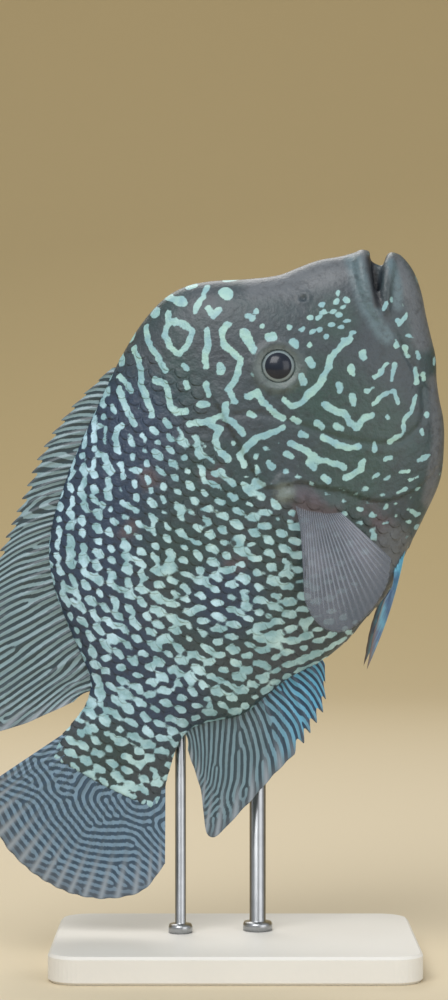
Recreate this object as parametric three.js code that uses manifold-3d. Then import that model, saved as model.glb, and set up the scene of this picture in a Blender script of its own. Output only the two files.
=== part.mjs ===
// Flowerhorn cichlid, a still life-size model held nose up on a flat base with two rods
// Millimetres, +Z up, origin under the middle of the base, the fish's right side towards -Y
import * as THREE from 'three';
import Module from 'manifold-3d';
import { mergeVertices } from 'three/addons/utils/BufferGeometryUtils.js';

const wasm = await Module();
wasm.setup();

// Driving dimensions
const noseUpAngle = 62.7;
const bodyLength = 206;
const gap = 0.3;
const skinGap = 0.35;
const ringCount = 42;
const ringSides = 28;
const baseLength = 132;
const baseWidth = 92;
const baseThick = 10;
const baseCorner = 10;
const snoutAhead = 51.6;
const snoutHeight = 256;
const eyePlace = { s: 51.4, h: 14.2 };
const eyeRadius = 7.4;
const eyeDepth = 5.2;
const eyeBulge = 1.9;
const bellyRod = { radius: 3, x: 8.4, y: 8.8 };
const tailRod = { radius: 2, x: -20, y: 3.7 };
const membrane = 0.3;

// Body sections: s runs tailward from the snout, top and belly are heights above the axis
const bodySections = [
  { s: -6.2, top: -4.6, belly: -7.6, half: 2.4 },
  { s: -4.4, top: -2.6, belly: -11.8, half: 5.0 },
  { s: -2.0, top: 5.2, belly: -15.4, half: 7.0 },
  { s: 1.0, top: 9.0, belly: -18.6, half: 8.6 },
  { s: 4.0, top: 12.2, belly: -21.3, half: 9.8 },
  { s: 9.0, top: 18.8, belly: -25.2, half: 11.4 },
  { s: 15, top: 24.4, belly: -30.3, half: 13.0 },
  { s: 21, top: 29.8, belly: -35.4, half: 14.5 },
  { s: 28, top: 40.2, belly: -39.4, half: 16.0 },
  { s: 34, top: 50.4, belly: -43.6, half: 17.2 },
  { s: 40, top: 57.8, belly: -48.4, half: 18.2 },
  { s: 48, top: 62.9, belly: -52.8, half: 19.2 },
  { s: 60, top: 66.0, belly: -57.4, half: 20.3 },
  { s: 75, top: 67.0, belly: -58.4, half: 21.0 },
  { s: 90, top: 66.6, belly: -58.6, half: 21.0 },
  { s: 105, top: 65.9, belly: -59.4, half: 20.4 },
  { s: 118, top: 65.0, belly: -56.4, half: 19.2 },
  { s: 130, top: 63.3, belly: -53.4, half: 17.6 },
  { s: 140, top: 61.4, belly: -48.4, half: 15.8 },
  { s: 150, top: 57.4, belly: -41.4, half: 13.8 },
  { s: 160, top: 50.2, belly: -37.0, half: 11.8 },
  { s: 170, top: 39.2, belly: -32.2, half: 9.8 },
  { s: 178, top: 29.2, belly: -22.4, half: 8.2 },
  { s: 184, top: 22.8, belly: -17.6, half: 7.0 },
  { s: 192, top: 20.4, belly: -16.9, half: 5.6 },
  { s: 200, top: 21.6, belly: -18.4, half: 4.0 },
  { s: 206, top: 22.8, belly: -19.6, half: 2.6 },
];
const widestShare = 0.47;

function smoothValue(key, s) {
  const list = bodySections;
  const last = list.length - 2;
  let i = 0;
  while (i < last && list[i + 1].s < s) {
    i += 1;
  }
  const slopeAt = (n) => {
    const before = list[Math.max(n - 1, 0)];
    const after = list[Math.min(n + 1, list.length - 1)];
    return (after[key] - before[key]) / (after.s - before.s);
  };
  const span = list[i + 1].s - list[i].s;
  const t = THREE.MathUtils.clamp((s - list[i].s) / span, 0, 1);
  const rise = slopeAt(i) * span * t * (1 - t) ** 2;
  const fall = slopeAt(i + 1) * span * t ** 2 * (t - 1);
  const blend = t * t * (3 - 2 * t);
  return list[i][key] + (list[i + 1][key] - list[i][key]) * blend + rise + fall;
}

function sectionAt(s) {
  const top = smoothValue('top', s);
  const belly = smoothValue('belly', s);
  const half = smoothValue('half', s);
  const middle = belly + (top - belly) * widestShare;
  const pinch = THREE.MathUtils.smoothstep(s, 35, 95);
  return { top, belly, half, middle, topPower: 0.86 + 0.42 * pinch, bellyPower: 0.92 };
}

// The side surface's distance from the middle plane at a place on the flank
function halfWidthAt(s, h) {
  const part = sectionAt(s);
  const reach = h > part.middle ? part.top - part.middle : part.middle - part.belly;
  const cosine = THREE.MathUtils.clamp((h - part.middle) / reach, -1, 1);
  const power = THREE.MathUtils.lerp(part.bellyPower, part.topPower, (cosine + 1) / 2);
  return part.half * Math.sqrt(1 - cosine * cosine) ** power;
}

// Solids and meshes
function toSolid(geometry) {
  const bare = geometry.clone();
  for (const name of ['normal', 'uv', 'uv1', 'color']) {
    bare.deleteAttribute(name);
  }
  const merged = mergeVertices(bare, 1e-4);
  const vertProperties = new Float32Array(merged.attributes.position.array);
  const triVerts = new Uint32Array(merged.index.array);
  return new wasm.Manifold(new wasm.Mesh({ numProp: 3, vertProperties, triVerts }));
}

function largestPiece(solid) {
  const pieces = solid.decompose();
  pieces.sort((a, b) => b.volume() - a.volume());
  return pieces[0];
}

function toGeometry(solid) {
  const mesh = largestPiece(solid).getMesh();
  const geometry = new THREE.BufferGeometry();
  geometry.setAttribute('position', new THREE.BufferAttribute(new Float32Array(mesh.vertProperties), 3));
  geometry.setIndex(new THREE.BufferAttribute(new Uint32Array(mesh.triVerts), 1));
  geometry.computeVertexNormals();
  return geometry;
}

// Rings of equal length joined into a tube, with a cap at both ends
function loft(rings) {
  const positions = rings.flat(2);
  const sides = rings[0].length;
  const index = [];
  for (let r = 0; r < rings.length - 1; r += 1) {
    for (let c = 0; c < sides; c += 1) {
      const a = r * sides + c;
      const b = r * sides + ((c + 1) % sides);
      index.push(a, b, a + sides, b, b + sides, a + sides);
    }
  }
  for (const end of [0, rings.length - 1]) {
    const ring = rings[end];
    const centre = [0, 1, 2].map((k) => ring.reduce((sum, p) => sum + p[k], 0) / sides);
    const hub = positions.length / 3;
    positions.push(...centre);
    for (let c = 0; c < sides; c += 1) {
      const a = end * sides + c;
      const b = end * sides + ((c + 1) % sides);
      index.push(...(end === 0 ? [hub, b, a] : [hub, a, b]));
    }
  }
  const geometry = new THREE.BufferGeometry();
  geometry.setAttribute('position', new THREE.Float32BufferAttribute(positions, 3));
  geometry.setIndex(index);
  const solid = toSolid(geometry);
  return solid.volume() < 0 ? toSolid(flipped(geometry)) : solid;
}

function flipped(geometry) {
  const index = Array.from(geometry.index.array);
  for (let i = 0; i < index.length; i += 3) {
    [index[i + 1], index[i + 2]] = [index[i + 2], index[i + 1]];
  }
  geometry.setIndex(index);
  return geometry;
}

function bodySolid(grow) {
  const rings = [];
  const from = bodySections[0].s;
  for (let i = 0; i <= ringCount; i += 1) {
    const along = (i / ringCount) ** 1.3;
    const s = from + (bodyLength - from) * along;
    const part = sectionAt(s);
    const ring = [];
    for (let k = 0; k < ringSides; k += 1) {
      const turn = (2 * Math.PI * k) / ringSides;
      const cosine = Math.cos(turn);
      const sine = Math.sin(turn);
      const power = THREE.MathUtils.lerp(part.bellyPower, part.topPower, (cosine + 1) / 2);
      const reach = cosine > 0 ? part.top - part.middle + grow : part.middle - part.belly + grow;
      const side = Math.sign(sine) * (part.half + grow) * Math.abs(sine) ** power;
      const end = i === 0 ? -grow : i === ringCount ? grow : 0;
      ring.push([s + end, part.middle + reach * cosine, side]);
    }
    rings.push(ring);
  }
  return loft(rings);
}

// A flat outline in the side view, extruded across the fish from one side distance to another
function prism(points, from, to) {
  const shape = new THREE.Shape(points.map(([s, h]) => new THREE.Vector2(s, h)));
  const geometry = new THREE.ExtrudeGeometry(shape, { depth: to - from, bevelEnabled: false });
  geometry.translate(0, 0, from);
  return toSolid(geometry);
}

function curveThrough(points, closed = false) {
  return new THREE.CatmullRomCurve3(
    points.map(([x, y, z = 0]) => new THREE.Vector3(x, y, z)), closed, 'centripetal');
}

// A thin wall that follows a line in the side view, for the cuts between named parts
function thinCut(points, thick = gap) {
  const curve = curveThrough(points);
  const steps = 10;
  const left = [];
  const right = [];
  for (let i = 0; i <= steps; i += 1) {
    const p = curve.getPoint(i / steps);
    const d = curve.getTangent(i / steps);
    left.push([p.x - (d.y * thick) / 2, p.y + (d.x * thick) / 2]);
    right.unshift([p.x + (d.y * thick) / 2, p.y - (d.x * thick) / 2]);
  }
  return prism([...left, ...right], -40, 40);
}

// A round roll of skin along a path, thick in the middle and thin at both ends
function roll(lip, steps, sides) {
  const { endRadius, midRadius } = lip;
  const curve = curveThrough(lip.path);
  const frames = curve.computeFrenetFrames(steps, false);
  const rings = [];
  for (let i = 0; i <= steps; i += 1) {
    const centre = curve.getPointAt(i / steps);
    const radius = endRadius + (midRadius - endRadius) * Math.sin((Math.PI * i) / steps) ** 0.6;
    const ring = [];
    for (let k = 0; k < sides; k += 1) {
      const turn = (2 * Math.PI * k) / sides;
      const p = centre.clone()
        .addScaledVector(frames.normals[i], radius * Math.cos(turn))
        .addScaledVector(frames.binormals[i], radius * Math.sin(turn));
      ring.push([p.x, p.y, p.z]);
    }
    rings.push(ring);
  }
  return loft(rings);
}

function mirroredPath(points) {
  const back = points.slice(0, -1).reverse();
  return [...points.map(([s, h, y]) => [s, h, -y]), ...back];
}

// A fin: rays fan from its base line to its edge, each one a ridge raised on both faces
function finSolid(fin) {
  const base = curveThrough(fin.base);
  const edge = curveThrough(fin.edge);
  const columns = 2 * fin.rays;
  const near = [];
  const far = [];
  for (let c = 0; c <= columns; c += 1) {
    const u = c / columns;
    const ridge = c % 2 === 1;
    const root = base.getPoint(u);
    const tip = edge.getPoint(u);
    const notch = ridge ? 0 : fin.notch(u);
    const reach = root.distanceTo(tip);
    const nearRow = [];
    const farRow = [];
    for (let r = 0; r <= fin.rows; r += 1) {
      const v = (r / fin.rows) * (1 - notch / reach);
      const p = root.clone().lerp(tip, v);
      const bow = fin.bow * Math.sin(Math.PI * v);
      const across = new THREE.Vector3(tip.y - root.y, root.x - tip.x, 0).normalize();
      p.addScaledVector(across, bow);
      const sway = fin.sway(u, v);
      const rib = ridge ? THREE.MathUtils.lerp(fin.ribRoot, fin.ribTip, v) : membrane;
      nearRow.push([p.x, p.y, p.z + sway - rib]);
      farRow.push([p.x, p.y, p.z + sway + rib]);
    }
    near.push(nearRow);
    far.push(farRow);
  }
  const positions = [...near.flat(2), ...far.flat(2)];
  const rowLength = fin.rows + 1;
  const offset = (columns + 1) * rowLength;
  const index = [];
  const quad = (a, b, c, d) => index.push(a, b, c, a, c, d);
  for (let c = 0; c < columns; c += 1) {
    for (let r = 0; r < fin.rows; r += 1) {
      const a = c * rowLength + r;
      const b = a + rowLength;
      quad(a, a + 1, b + 1, b);
      index.push(a + offset, b + 1 + offset, a + 1 + offset);
      index.push(a + offset, b + offset, b + 1 + offset);
    }
    const root = c * rowLength;
    const tip = root + fin.rows;
    quad(root, root + rowLength, root + rowLength + offset, root + offset);
    quad(tip, tip + offset, tip + rowLength + offset, tip + rowLength);
  }
  for (let r = 0; r < fin.rows; r += 1) {
    const end = columns * rowLength + r;
    quad(r, r + offset, r + 1 + offset, r + 1);
    quad(end, end + 1, end + 1 + offset, end + offset);
  }
  const geometry = new THREE.BufferGeometry();
  geometry.setAttribute('position', new THREE.Float32BufferAttribute(positions, 3));
  geometry.setIndex(index);
  const solid = toSolid(geometry);
  return solid.volume() < 0 ? toSolid(flipped(geometry)) : solid;
}

const spineSaw = (share, depth) => (u) => (u < share ? depth : 0.35);

const dorsalFin = {
  base: [
    [77, 64.6], [87, 64.4], [97, 64.2], [107, 63.6], [117, 62.9], [127, 61.6], [136, 59.9],
    [144.5, 57.4], [152.5, 53.2], [160, 47.2], [167, 39.6], [173, 32.0], [179, 24.6], [186, 18.6],
  ],
  edge: [
    [82, 69.4], [96, 74.2], [109, 76.6], [121, 77.2], [132, 76.0], [143, 75.0], [154, 74.2],
    [166, 73.4], [180, 73.2], [196, 71.6], [212, 67.0], [224, 57.5], [213, 40.6], [194, 24.6],
  ],
  rays: 28,
  rows: 5,
  notch: spineSaw(0.62, 3.4),
  bow: -1.2,
  sway: (u, v) => 1.6 * v * v * Math.sin(4.2 * u),
  ribRoot: 0.95,
  ribTip: 0.3,
};

const analFin = {
  base: [
    [137.5, -46.6], [143.5, -42.0], [149.5, -38.4], [155.5, -35.6], [161.5, -33.4],
    [167.5, -30.4], [173, -25.2], [178.5, -18.6], [184.5, -14.4],
  ],
  edge: [
    [143, -52.8], [153, -58.0], [162, -57.8], [171, -56.8], [184, -52.8],
    [200, -48.6], [215, -42.6], [201, -31.4], [190.6, -20.8],
  ],
  rays: 16,
  rows: 5,
  notch: spineSaw(0.4, 3.6),
  bow: 1.4,
  sway: (u, v) => -1.4 * v * v * Math.sin(3.6 * u),
  ribRoot: 0.95,
  ribTip: 0.3,
};

const tailFin = {
  base: [
    [203.6, 21.2], [204.1, 16.4], [204.4, 11.4], [204.6, 6.5], [204.7, 1.6],
    [204.6, -3.4], [204.4, -8.4], [204.1, -13.4], [203.6, -18.4],
  ],
  edge: [
    [231, 36.4], [243, 33.4], [251.5, 24], [256, 12.4], [257.4, 1.6],
    [256.4, -9.0], [252, -20], [243.5, -29.6], [231, -32.4],
  ],
  rays: 16,
  rows: 6,
  notch: () => 0.5,
  bow: 0,
  sway: (u, v) => 2.0 * v * v * Math.sin(5 * u - 0.6),
  ribRoot: 0.95,
  ribTip: 0.3,
};

function pectoralFin(side) {
  const out = (s, h, more) => side * (halfWidthAt(s, h) + more);
  const rootSink = -1.5;
  return {
    base: [
      [90.2, -12.0], [89.4, -14.8], [88.8, -17.4], [88.2, -19.8],
      [87.6, -22.2], [87.2, -24.6], [86.8, -27.0],
    ]
      .map(([s, h]) => [s, h, out(s, h, rootSink)]),
    edge: [
      [108.5, -26.6, side * 24.6], [121, -32.0, side * 25.8], [127.2, -41.6, side * 26.0],
      [125, -50.2, side * 25.6], [115.6, -54.8, side * 24.8], [104, -56.2, side * 23.8],
      [94.2, -53.4, side * 22.8],
    ],
    rays: 13,
    rows: 5,
    notch: () => 0.4,
    bow: 0,
    sway: (u, v) => side * 1.6 * Math.sin(Math.PI * v) * (0.6 + 0.4 * u),
    ribRoot: 0.75,
    ribTip: 0.28,
  };
}

function pelvicFin(side) {
  return {
    base: [[85.6, -56.8, side * 3.4], [91, -57.0, side * 4.4], [96.5, -56.6, side * 5.2]],
    edge: [[134, -64.6, side * 10.6], [121, -60.6, side * 11.2], [108.5, -58.4, side * 10.4]],
    rays: 6,
    rows: 5,
    notch: (u) => 1.2 + 2 * u,
    bow: 1.6,
    sway: () => 0,
    ribRoot: 0.95,
    ribTip: 0.3,
  };
}

// Head parts
const mouthWedge = [
  [-14, 5.6], [0.4, 3.0], [8.4, -1.8], [15.2, -8.0],
  [7.6, -4.6], [0.4, -2.2], [-14, -3.2],
];
const mouthFloor = { from: [[1.6, 8], [18, -2], [18, -14], [0.8, -6]], half: 6.2 };
const jawLine = [[15.2, -8.2], [18, -14], [21, -18], [25, -23], [29.5, -30.5], [32.6, -39], [34, -48]];
const headEnd = [
  [56, 74], [63, 54], [73, 34], [84, 15], [91.5, 2], [88.6, -8],
  [84.4, -18], [82.4, -28], [80.2, -38], [74, -49], [64, -68],
];
const cheekLine = [[80, 12], [71, 6], [66, -6], [63, -20], [58.6, -32], [59, -42], [66, -50]];
const jawRegion = [[-30, 0], [0, 0.4], [8, -3.2], ...jawLine, [34, -70], [-30, -70]];
const headRegion = [[-30, 90], [52, 90], ...headEnd, [60, -90], [-30, -90]];
const upperLip = {
  path: mirroredPath([
    [20, -12.2, 12.9], [15.4, -6.4, 12.2], [9.4, -0.4, 10.8],
    [4.4, 3.0, 8.6], [1.3, 4.8, 5.0], [0.3, 5.4, 0],
  ]),
  endRadius: 1.4,
  midRadius: 2.6,
};
const lowerLip = {
  path: mirroredPath([
    [15.4, -11.4, 12.4], [9, -8.0, 11.0], [2.4, -5.6, 8.6], [-2.4, -4.8, 5.0], [-3.8, -4.6, 0],
  ]),
  endRadius: 0.9,
  midRadius: 2.3,
};
const tailBaseLine = [[178, 60], [181, 24], [181.6, 2], [181, -18], [178, -60]];
const nostril = { s: 24.5, h: 17.5, radius: 1.3 };

function ellipsoid(centre, radii, around, down) {
  const geometry = new THREE.SphereGeometry(1, around, down);
  geometry.scale(radii[0], radii[1], radii[2]);
  geometry.translate(centre[0], centre[1], centre[2]);
  return toSolid(geometry);
}

function eyeCentre(side) {
  const surface = halfWidthAt(eyePlace.s, eyePlace.h);
  return [eyePlace.s, eyePlace.h, side * (surface + eyeBulge - eyeDepth)];
}

function eyeSolid(side, grow) {
  const r = eyeRadius + grow;
  return ellipsoid(eyeCentre(side), [r, r, eyeDepth + grow], 20, 10);
}

function orbitRing(side) {
  const ring = new THREE.TorusGeometry(eyeRadius + 0.9, 1.3, 6, 20);
  const step = 2;
  const { s, h } = eyePlace;
  const alongSlope = (halfWidthAt(s + step, h) - halfWidthAt(s - step, h)) / (2 * step);
  const upSlope = (halfWidthAt(s, h + step) - halfWidthAt(s, h - step)) / (2 * step);
  const outward = new THREE.Vector3(-alongSlope, -upSlope, side).normalize();
  const lean = new THREE.Quaternion().setFromUnitVectors(new THREE.Vector3(0, 0, side), outward);
  ring.applyQuaternion(lean);
  ring.translate(s, h, side * (halfWidthAt(s, h) - 0.4));
  return toSolid(ring);
}

const cheekCurve = curveThrough(cheekLine).getPoints(16).map((p) => [p.x, p.y]);
const coverRear = curveThrough(headEnd.slice(3, 10)).getPoints(20).map((p) => [p.x, p.y]);
const coverOutline = [...cheekCurve.slice().reverse(), ...coverRear.map(([s, h]) => [s + 3, h])];

const body = bodySolid(0);
const skinned = bodySolid(skinGap);
const proud = bodySolid(0.6);
const core = bodySolid(-2.6);
const deepCore = bodySolid(-2.9);
const headEndCut = thinCut(headEnd);
const headSide = prism(headRegion, -40, 40);
const jawSide = prism(jawRegion, -40, 40);
const jawCut = thinCut([[-30, 0], [0, 0.4], [8, -3.2], ...jawLine, [34, -70]]);
const floor = prism(mouthFloor.from, -mouthFloor.half, mouthFloor.half);
const wedge = prism(mouthWedge, -40, 40).subtract(floor);
const tailSide = prism([...tailBaseLine, [240, -60], [240, 60]], -40, 40);

function gillCover(side) {
  const window = prism(coverOutline, side > 0 ? 4 : -40, side > 0 ? 40 : -4);
  const rim = thinCut(cheekLine);
  return proud.intersect(window).intersect(headSide).subtract(core).subtract(headEndCut).subtract(rim);
}

function coverPocket(side) {
  const window = prism(coverOutline, side > 0 ? 4 - gap : -40, side > 0 ? 40 : gap - 4);
  return window.subtract(deepCore);
}

function headSolid() {
  let head = body.intersect(headSide).subtract(wedge);
  head = head.add(roll(upperLip, 18, 8));
  head = head.add(orbitRing(1)).add(orbitRing(-1));
  head = head.subtract(jawSide).subtract(jawCut).subtract(headEndCut);
  for (const side of [1, -1]) {
    head = head.subtract(eyeSolid(side, gap)).subtract(coverPocket(side));
    const surface = halfWidthAt(nostril.s, nostril.h);
    const r = nostril.radius;
    head = head.subtract(ellipsoid([nostril.s, nostril.h, side * surface], [r, r, 1.6], 8, 6));
  }
  return head;
}

function jawSolid() {
  const jaw = body.subtract(wedge).add(roll(lowerLip, 16, 8));
  return jaw.intersect(jawSide).subtract(jawCut);
}

function trunkSolid() {
  return body.subtract(headSide).subtract(headEndCut).subtract(tailSide).subtract(thinCut(tailBaseLine));
}

function tailBaseSolid() {
  return body.intersect(tailSide).subtract(thinCut(tailBaseLine));
}

// The fish frame: x tailward, y dorsal, z towards the fish's left side
const tilt = THREE.MathUtils.degToRad(noseUpAngle);
const tailward = new THREE.Vector3(-Math.cos(tilt), 0, -Math.sin(tilt));
const dorsal = new THREE.Vector3(-Math.sin(tilt), 0, Math.cos(tilt));
const leftward = new THREE.Vector3(0, 1, 0);
const fishFrame = new THREE.Matrix4().makeBasis(tailward, dorsal, leftward);
fishFrame.setPosition(snoutAhead, 0, snoutHeight);

function standRod(rod) {
  const length = 170;
  const geometry = new THREE.CylinderGeometry(rod.radius, rod.radius, length, 16);
  geometry.rotateX(Math.PI / 2);
  geometry.translate(rod.x, rod.y, baseThick + gap + length / 2);
  geometry.applyMatrix4(fishFrame.clone().invert());
  const solid = toSolid(geometry).subtract(skinned);
  const pieces = solid.decompose();
  const lowest = pieces.sort((a, b) => b.boundingBox().max[0] - a.boundingBox().max[0])[0];
  return lowest;
}

function standBase() {
  const x = baseLength / 2 - 1;
  const y = baseWidth / 2 - 1;
  const r = baseCorner;
  const outline = new THREE.Shape();
  outline.moveTo(-x + r, -y);
  outline.lineTo(x - r, -y);
  outline.absarc(x - r, -y + r, r, -Math.PI / 2, 0);
  outline.absarc(x - r, y - r, r, 0, Math.PI / 2);
  outline.absarc(-x + r, y - r, r, Math.PI / 2, Math.PI);
  outline.absarc(-x + r, -y + r, r, Math.PI, 1.5 * Math.PI);
  const geometry = new THREE.ExtrudeGeometry(outline, {
    depth: baseThick - 2, bevelThickness: 1, bevelSize: 1, bevelSegments: 1, curveSegments: 5,
  });
  geometry.translate(0, 0, 1);
  return toSolid(geometry);
}

// Finishes
const skinFinish = { color: 0x4a5558, roughness: 0.42, metalness: 0 };
const lipFinish = { color: 0x6f7d84, roughness: 0.4, metalness: 0 };
const finFinish = { color: 0x55707c, roughness: 0.4, metalness: 0 };
const eyeFinish = { color: 0x1d2a33, roughness: 0.08, metalness: 0 };
const baseFinish = { color: 0xe4e2dc, roughness: 0.5, metalness: 0 };
const rodFinish = { color: 0xb9bcc0, roughness: 0.25, metalness: 1 };

const model = new THREE.Group();
const fish = new THREE.Group();
fishFrame.decompose(fish.position, fish.quaternion, fish.scale);
model.add(fish);

function place(parent, name, solid, finish) {
  const mesh = new THREE.Mesh(toGeometry(solid), new THREE.MeshStandardMaterial(finish));
  mesh.name = name;
  parent.add(mesh);
}

place(fish, 'head', headSolid(), skinFinish);
place(fish, 'lower_jaw', jawSolid(), lipFinish);
place(fish, 'trunk', trunkSolid(), skinFinish);
place(fish, 'tail_base', tailBaseSolid(), skinFinish);
place(fish, 'dorsal_fin', finSolid(dorsalFin).subtract(skinned), finFinish);
place(fish, 'anal_fin', finSolid(analFin).subtract(skinned), finFinish);
place(fish, 'tail_fin', finSolid(tailFin).subtract(skinned), finFinish);
for (const [word, side] of [['left', 1], ['right', -1]]) {
  place(fish, `gill_cover_${word}`, gillCover(side), skinFinish);
  place(fish, `eye_${word}`, eyeSolid(side, 0), eyeFinish);
  place(fish, `pectoral_fin_${word}`, finSolid(pectoralFin(side)).subtract(skinned), finFinish);
  place(fish, `pelvic_fin_${word}`, finSolid(pelvicFin(side)).subtract(skinned), finFinish);
}
place(fish, 'stand_belly_rod', standRod(bellyRod), rodFinish);
place(fish, 'stand_tail_rod', standRod(tailRod), rodFinish);
place(model, 'stand_base', standBase(), baseFinish);

export default model;
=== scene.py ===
# Flowerhorn cichlid, a life-size display model on a flat base with two rods.
# Metres, +Z up. Sizes of the fish are in mm along its own axes: s tailward, h dorsal, w towards its left.
import math
import bmesh
import bpy
import numpy as np
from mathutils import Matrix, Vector
from mathutils.bvhtree import BVHTree


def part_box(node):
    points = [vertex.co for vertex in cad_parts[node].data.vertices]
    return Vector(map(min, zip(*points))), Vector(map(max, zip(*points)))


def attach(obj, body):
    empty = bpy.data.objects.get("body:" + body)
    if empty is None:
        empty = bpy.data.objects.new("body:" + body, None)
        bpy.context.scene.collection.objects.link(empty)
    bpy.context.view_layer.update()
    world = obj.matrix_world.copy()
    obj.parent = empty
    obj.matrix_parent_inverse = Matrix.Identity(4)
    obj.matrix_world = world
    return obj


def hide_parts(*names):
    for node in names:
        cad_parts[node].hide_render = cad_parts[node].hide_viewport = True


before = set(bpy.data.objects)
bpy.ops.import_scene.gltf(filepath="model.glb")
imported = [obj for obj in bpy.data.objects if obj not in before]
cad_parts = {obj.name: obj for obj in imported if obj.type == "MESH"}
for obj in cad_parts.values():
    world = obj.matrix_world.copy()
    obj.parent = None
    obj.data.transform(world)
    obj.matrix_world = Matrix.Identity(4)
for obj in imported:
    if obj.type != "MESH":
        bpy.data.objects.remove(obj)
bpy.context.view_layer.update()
mm = 0.001
scene = bpy.context.scene

# The fish's own axes in the model's frame
fishPose = {"noseUp": math.radians(62.7), "snout": (51.6, 0.0, 256.0)}
tailward = np.array([-math.cos(fishPose["noseUp"]), 0.0, -math.sin(fishPose["noseUp"])])
dorsal = np.array([-math.sin(fishPose["noseUp"]), 0.0, math.cos(fishPose["noseUp"])])
leftward = np.array([0.0, 1.0, 0.0])
snout = np.array(fishPose["snout"])
axes = np.stack([tailward, dorsal, leftward])


def toModel(local):
    return (snout + np.asarray(local, float) @ axes) * mm


def toFish(points):
    return (np.asarray(points, float) / mm - snout) @ axes.T


# The photo's frame, with the middle plane of the fish at mmPerPixel
photo = {
    "wide": 448, "high": 1000, "mmPerPixel": 0.366, "snoutPixel": (376.0, 262.0), "distance": 900.0,
    "flankNearer": 14.0, "sensor": 36.0,
}


def pixelsToFish(points):
    # places seen on the flank, which lies nearer to the camera than the middle plane
    shrink = 1 - photo["flankNearer"] / photo["distance"]
    middle = np.array([photo["wide"], photo["high"]]) / 2
    pixels = middle + (np.asarray(points, float) - middle) * shrink
    x, down = ((pixels - photo["snoutPixel"]) * photo["mmPerPixel"]).T
    return x * tailward[0] - down * tailward[2], x * dorsal[0] - down * dorsal[2]


# Camera: level, at the height of the photo's middle, on the fish's right side
def makeCamera():
    data = bpy.data.cameras.new("photoCamera")
    data.sensor_fit = "VERTICAL"
    data.sensor_height = photo["sensor"]
    data.lens = photo["sensor"] * photo["distance"] / (photo["high"] * photo["mmPerPixel"])
    cam = bpy.data.objects.new("photoCamera", data)
    aside, above = (photo["wide"] / 2 - photo["snoutPixel"][0], photo["snoutPixel"][1] - photo["high"] / 2)
    fromSnout = (aside * photo["mmPerPixel"], -photo["distance"], above * photo["mmPerPixel"])
    cam.location = (snout + fromSnout) * mm
    cam.rotation_euler = (math.pi / 2, 0, 0)
    scene.collection.objects.link(cam)
    scene.camera = cam


makeCamera()
print("camera set")


# Small helpers
def meshObject(name, points, faces, smooth=True):
    mesh = bpy.data.meshes.new(name)
    mesh.from_pydata([tuple(p) for p in points], [], [tuple(f) for f in faces])
    mesh.validate()
    mesh.update()
    if smooth:
        mesh.shade_smooth()
    obj = bpy.data.objects.new(name, mesh)
    scene.collection.objects.link(obj)
    return obj


def smoothStep(x, low, high):
    t = np.clip((np.asarray(x, float) - low) / (high - low), 0, 1)
    return t * t * (3 - 2 * t)


def readValues(items, label, kind=float, width=1):
    values = np.empty(len(items) * width, kind)
    items.foreach_get(label, values)
    return values if width == 1 else values.reshape(-1, width)


def meshPoints(obj):
    return readValues(obj.data.vertices, "co", width=3)


def meshNormals(obj):
    return readValues(obj.data.vertex_normals, "vector", width=3)


def faceCorners(obj):
    return readValues(obj.data.loops, "vertex_index", int)


def setPoints(obj, points):
    obj.data.vertices.foreach_set("co", np.asarray(points).ravel())
    obj.data.update()


def setAttribute(obj, name, values):
    attribute = obj.data.attributes.new(name, "FLOAT", "POINT")
    attribute.data.foreach_set("value", np.asarray(values, np.float32))


def setAll(item, settings):
    for label, value in settings.items():
        setattr(item, label, value)


def applyModifiers(obj):
    graph = bpy.context.evaluated_depsgraph_get()
    graph.update()
    done = bpy.data.meshes.new_from_object(obj.evaluated_get(graph))
    obj.modifiers.clear()
    old = obj.data
    obj.data = done
    done.name = obj.name
    bpy.data.meshes.remove(old)


def modify(obj, kind, **settings):
    setAll(obj.modifiers.new(kind.lower(), kind), settings)
    applyModifiers(obj)


def splineThrough(points, samples):
    # a smooth curve through the points, one list entry per step of equal index
    p = np.asarray(points, float)
    p = np.vstack([2 * p[0] - p[1], p, 2 * p[-1] - p[-2]])
    u = np.asarray(samples, float) * (len(points) - 1)
    i = np.clip(u.astype(int), 0, len(points) - 2)
    t = (u - i)[:, None]
    a, b, c, d = p[i], p[i + 1], p[i + 2], p[i + 3]
    return 0.5 * (2 * b + (c - a) * t + (2 * a - 5 * b + 4 * c - d) * t**2 + (3 * b - a - 3 * c + d) * t**3)


def lineDistance(x, y, points):
    # shortest distance from each x, y to a line through the points
    best = np.full(np.shape(x), 1e9)
    for (ax, ay), (bx, by) in zip(points[:-1], points[1:]):
        dx, dy = bx - ax, by - ay
        t = np.clip(((x - ax) * dx + (y - ay) * dy) / (dx * dx + dy * dy + 1e-9), 0, 1)
        best = np.minimum(best, np.hypot(x - ax - t * dx, y - ay - t * dy))
    return best


def gridValue(grid, x, y):
    # the value at a place between the points of a grid, counted in steps of the grid
    x = np.clip(x, 0, grid.shape[0] - 1.001)
    y = np.clip(y, 0, grid.shape[1] - 1.001)
    i, j = x.astype(int), y.astype(int)
    a, b = x - i, y - j
    low = grid[i, j] * (1 - b) + grid[i, j + 1] * b
    high = grid[i + 1, j] * (1 - b) + grid[i + 1, j + 1] * b
    return low * (1 - a) + high * a


def ringPlaces(sides):
    return np.linspace(0, 2 * math.pi, sides, endpoint=False)


def quadsOf(index):
    # faces between neighbours in a grid of point numbers
    quads = np.stack([index[:-1, :-1], index[:-1, 1:], index[1:, 1:], index[1:, :-1]], -1)
    return quads.reshape(-1, 4).tolist()


def pointNumbers(columns, rows, closed=(0, 0)):
    # the numbers of a grid's points, with the first ones repeated where the grid closes on itself
    index = np.arange(columns * rows).reshape(columns, rows)
    return np.pad(index, ((0, closed[0]), (0, closed[1])), mode="wrap")


# which way the left and the right lie from the middle plane
hands = {"left": 1, "right": -1}

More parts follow.
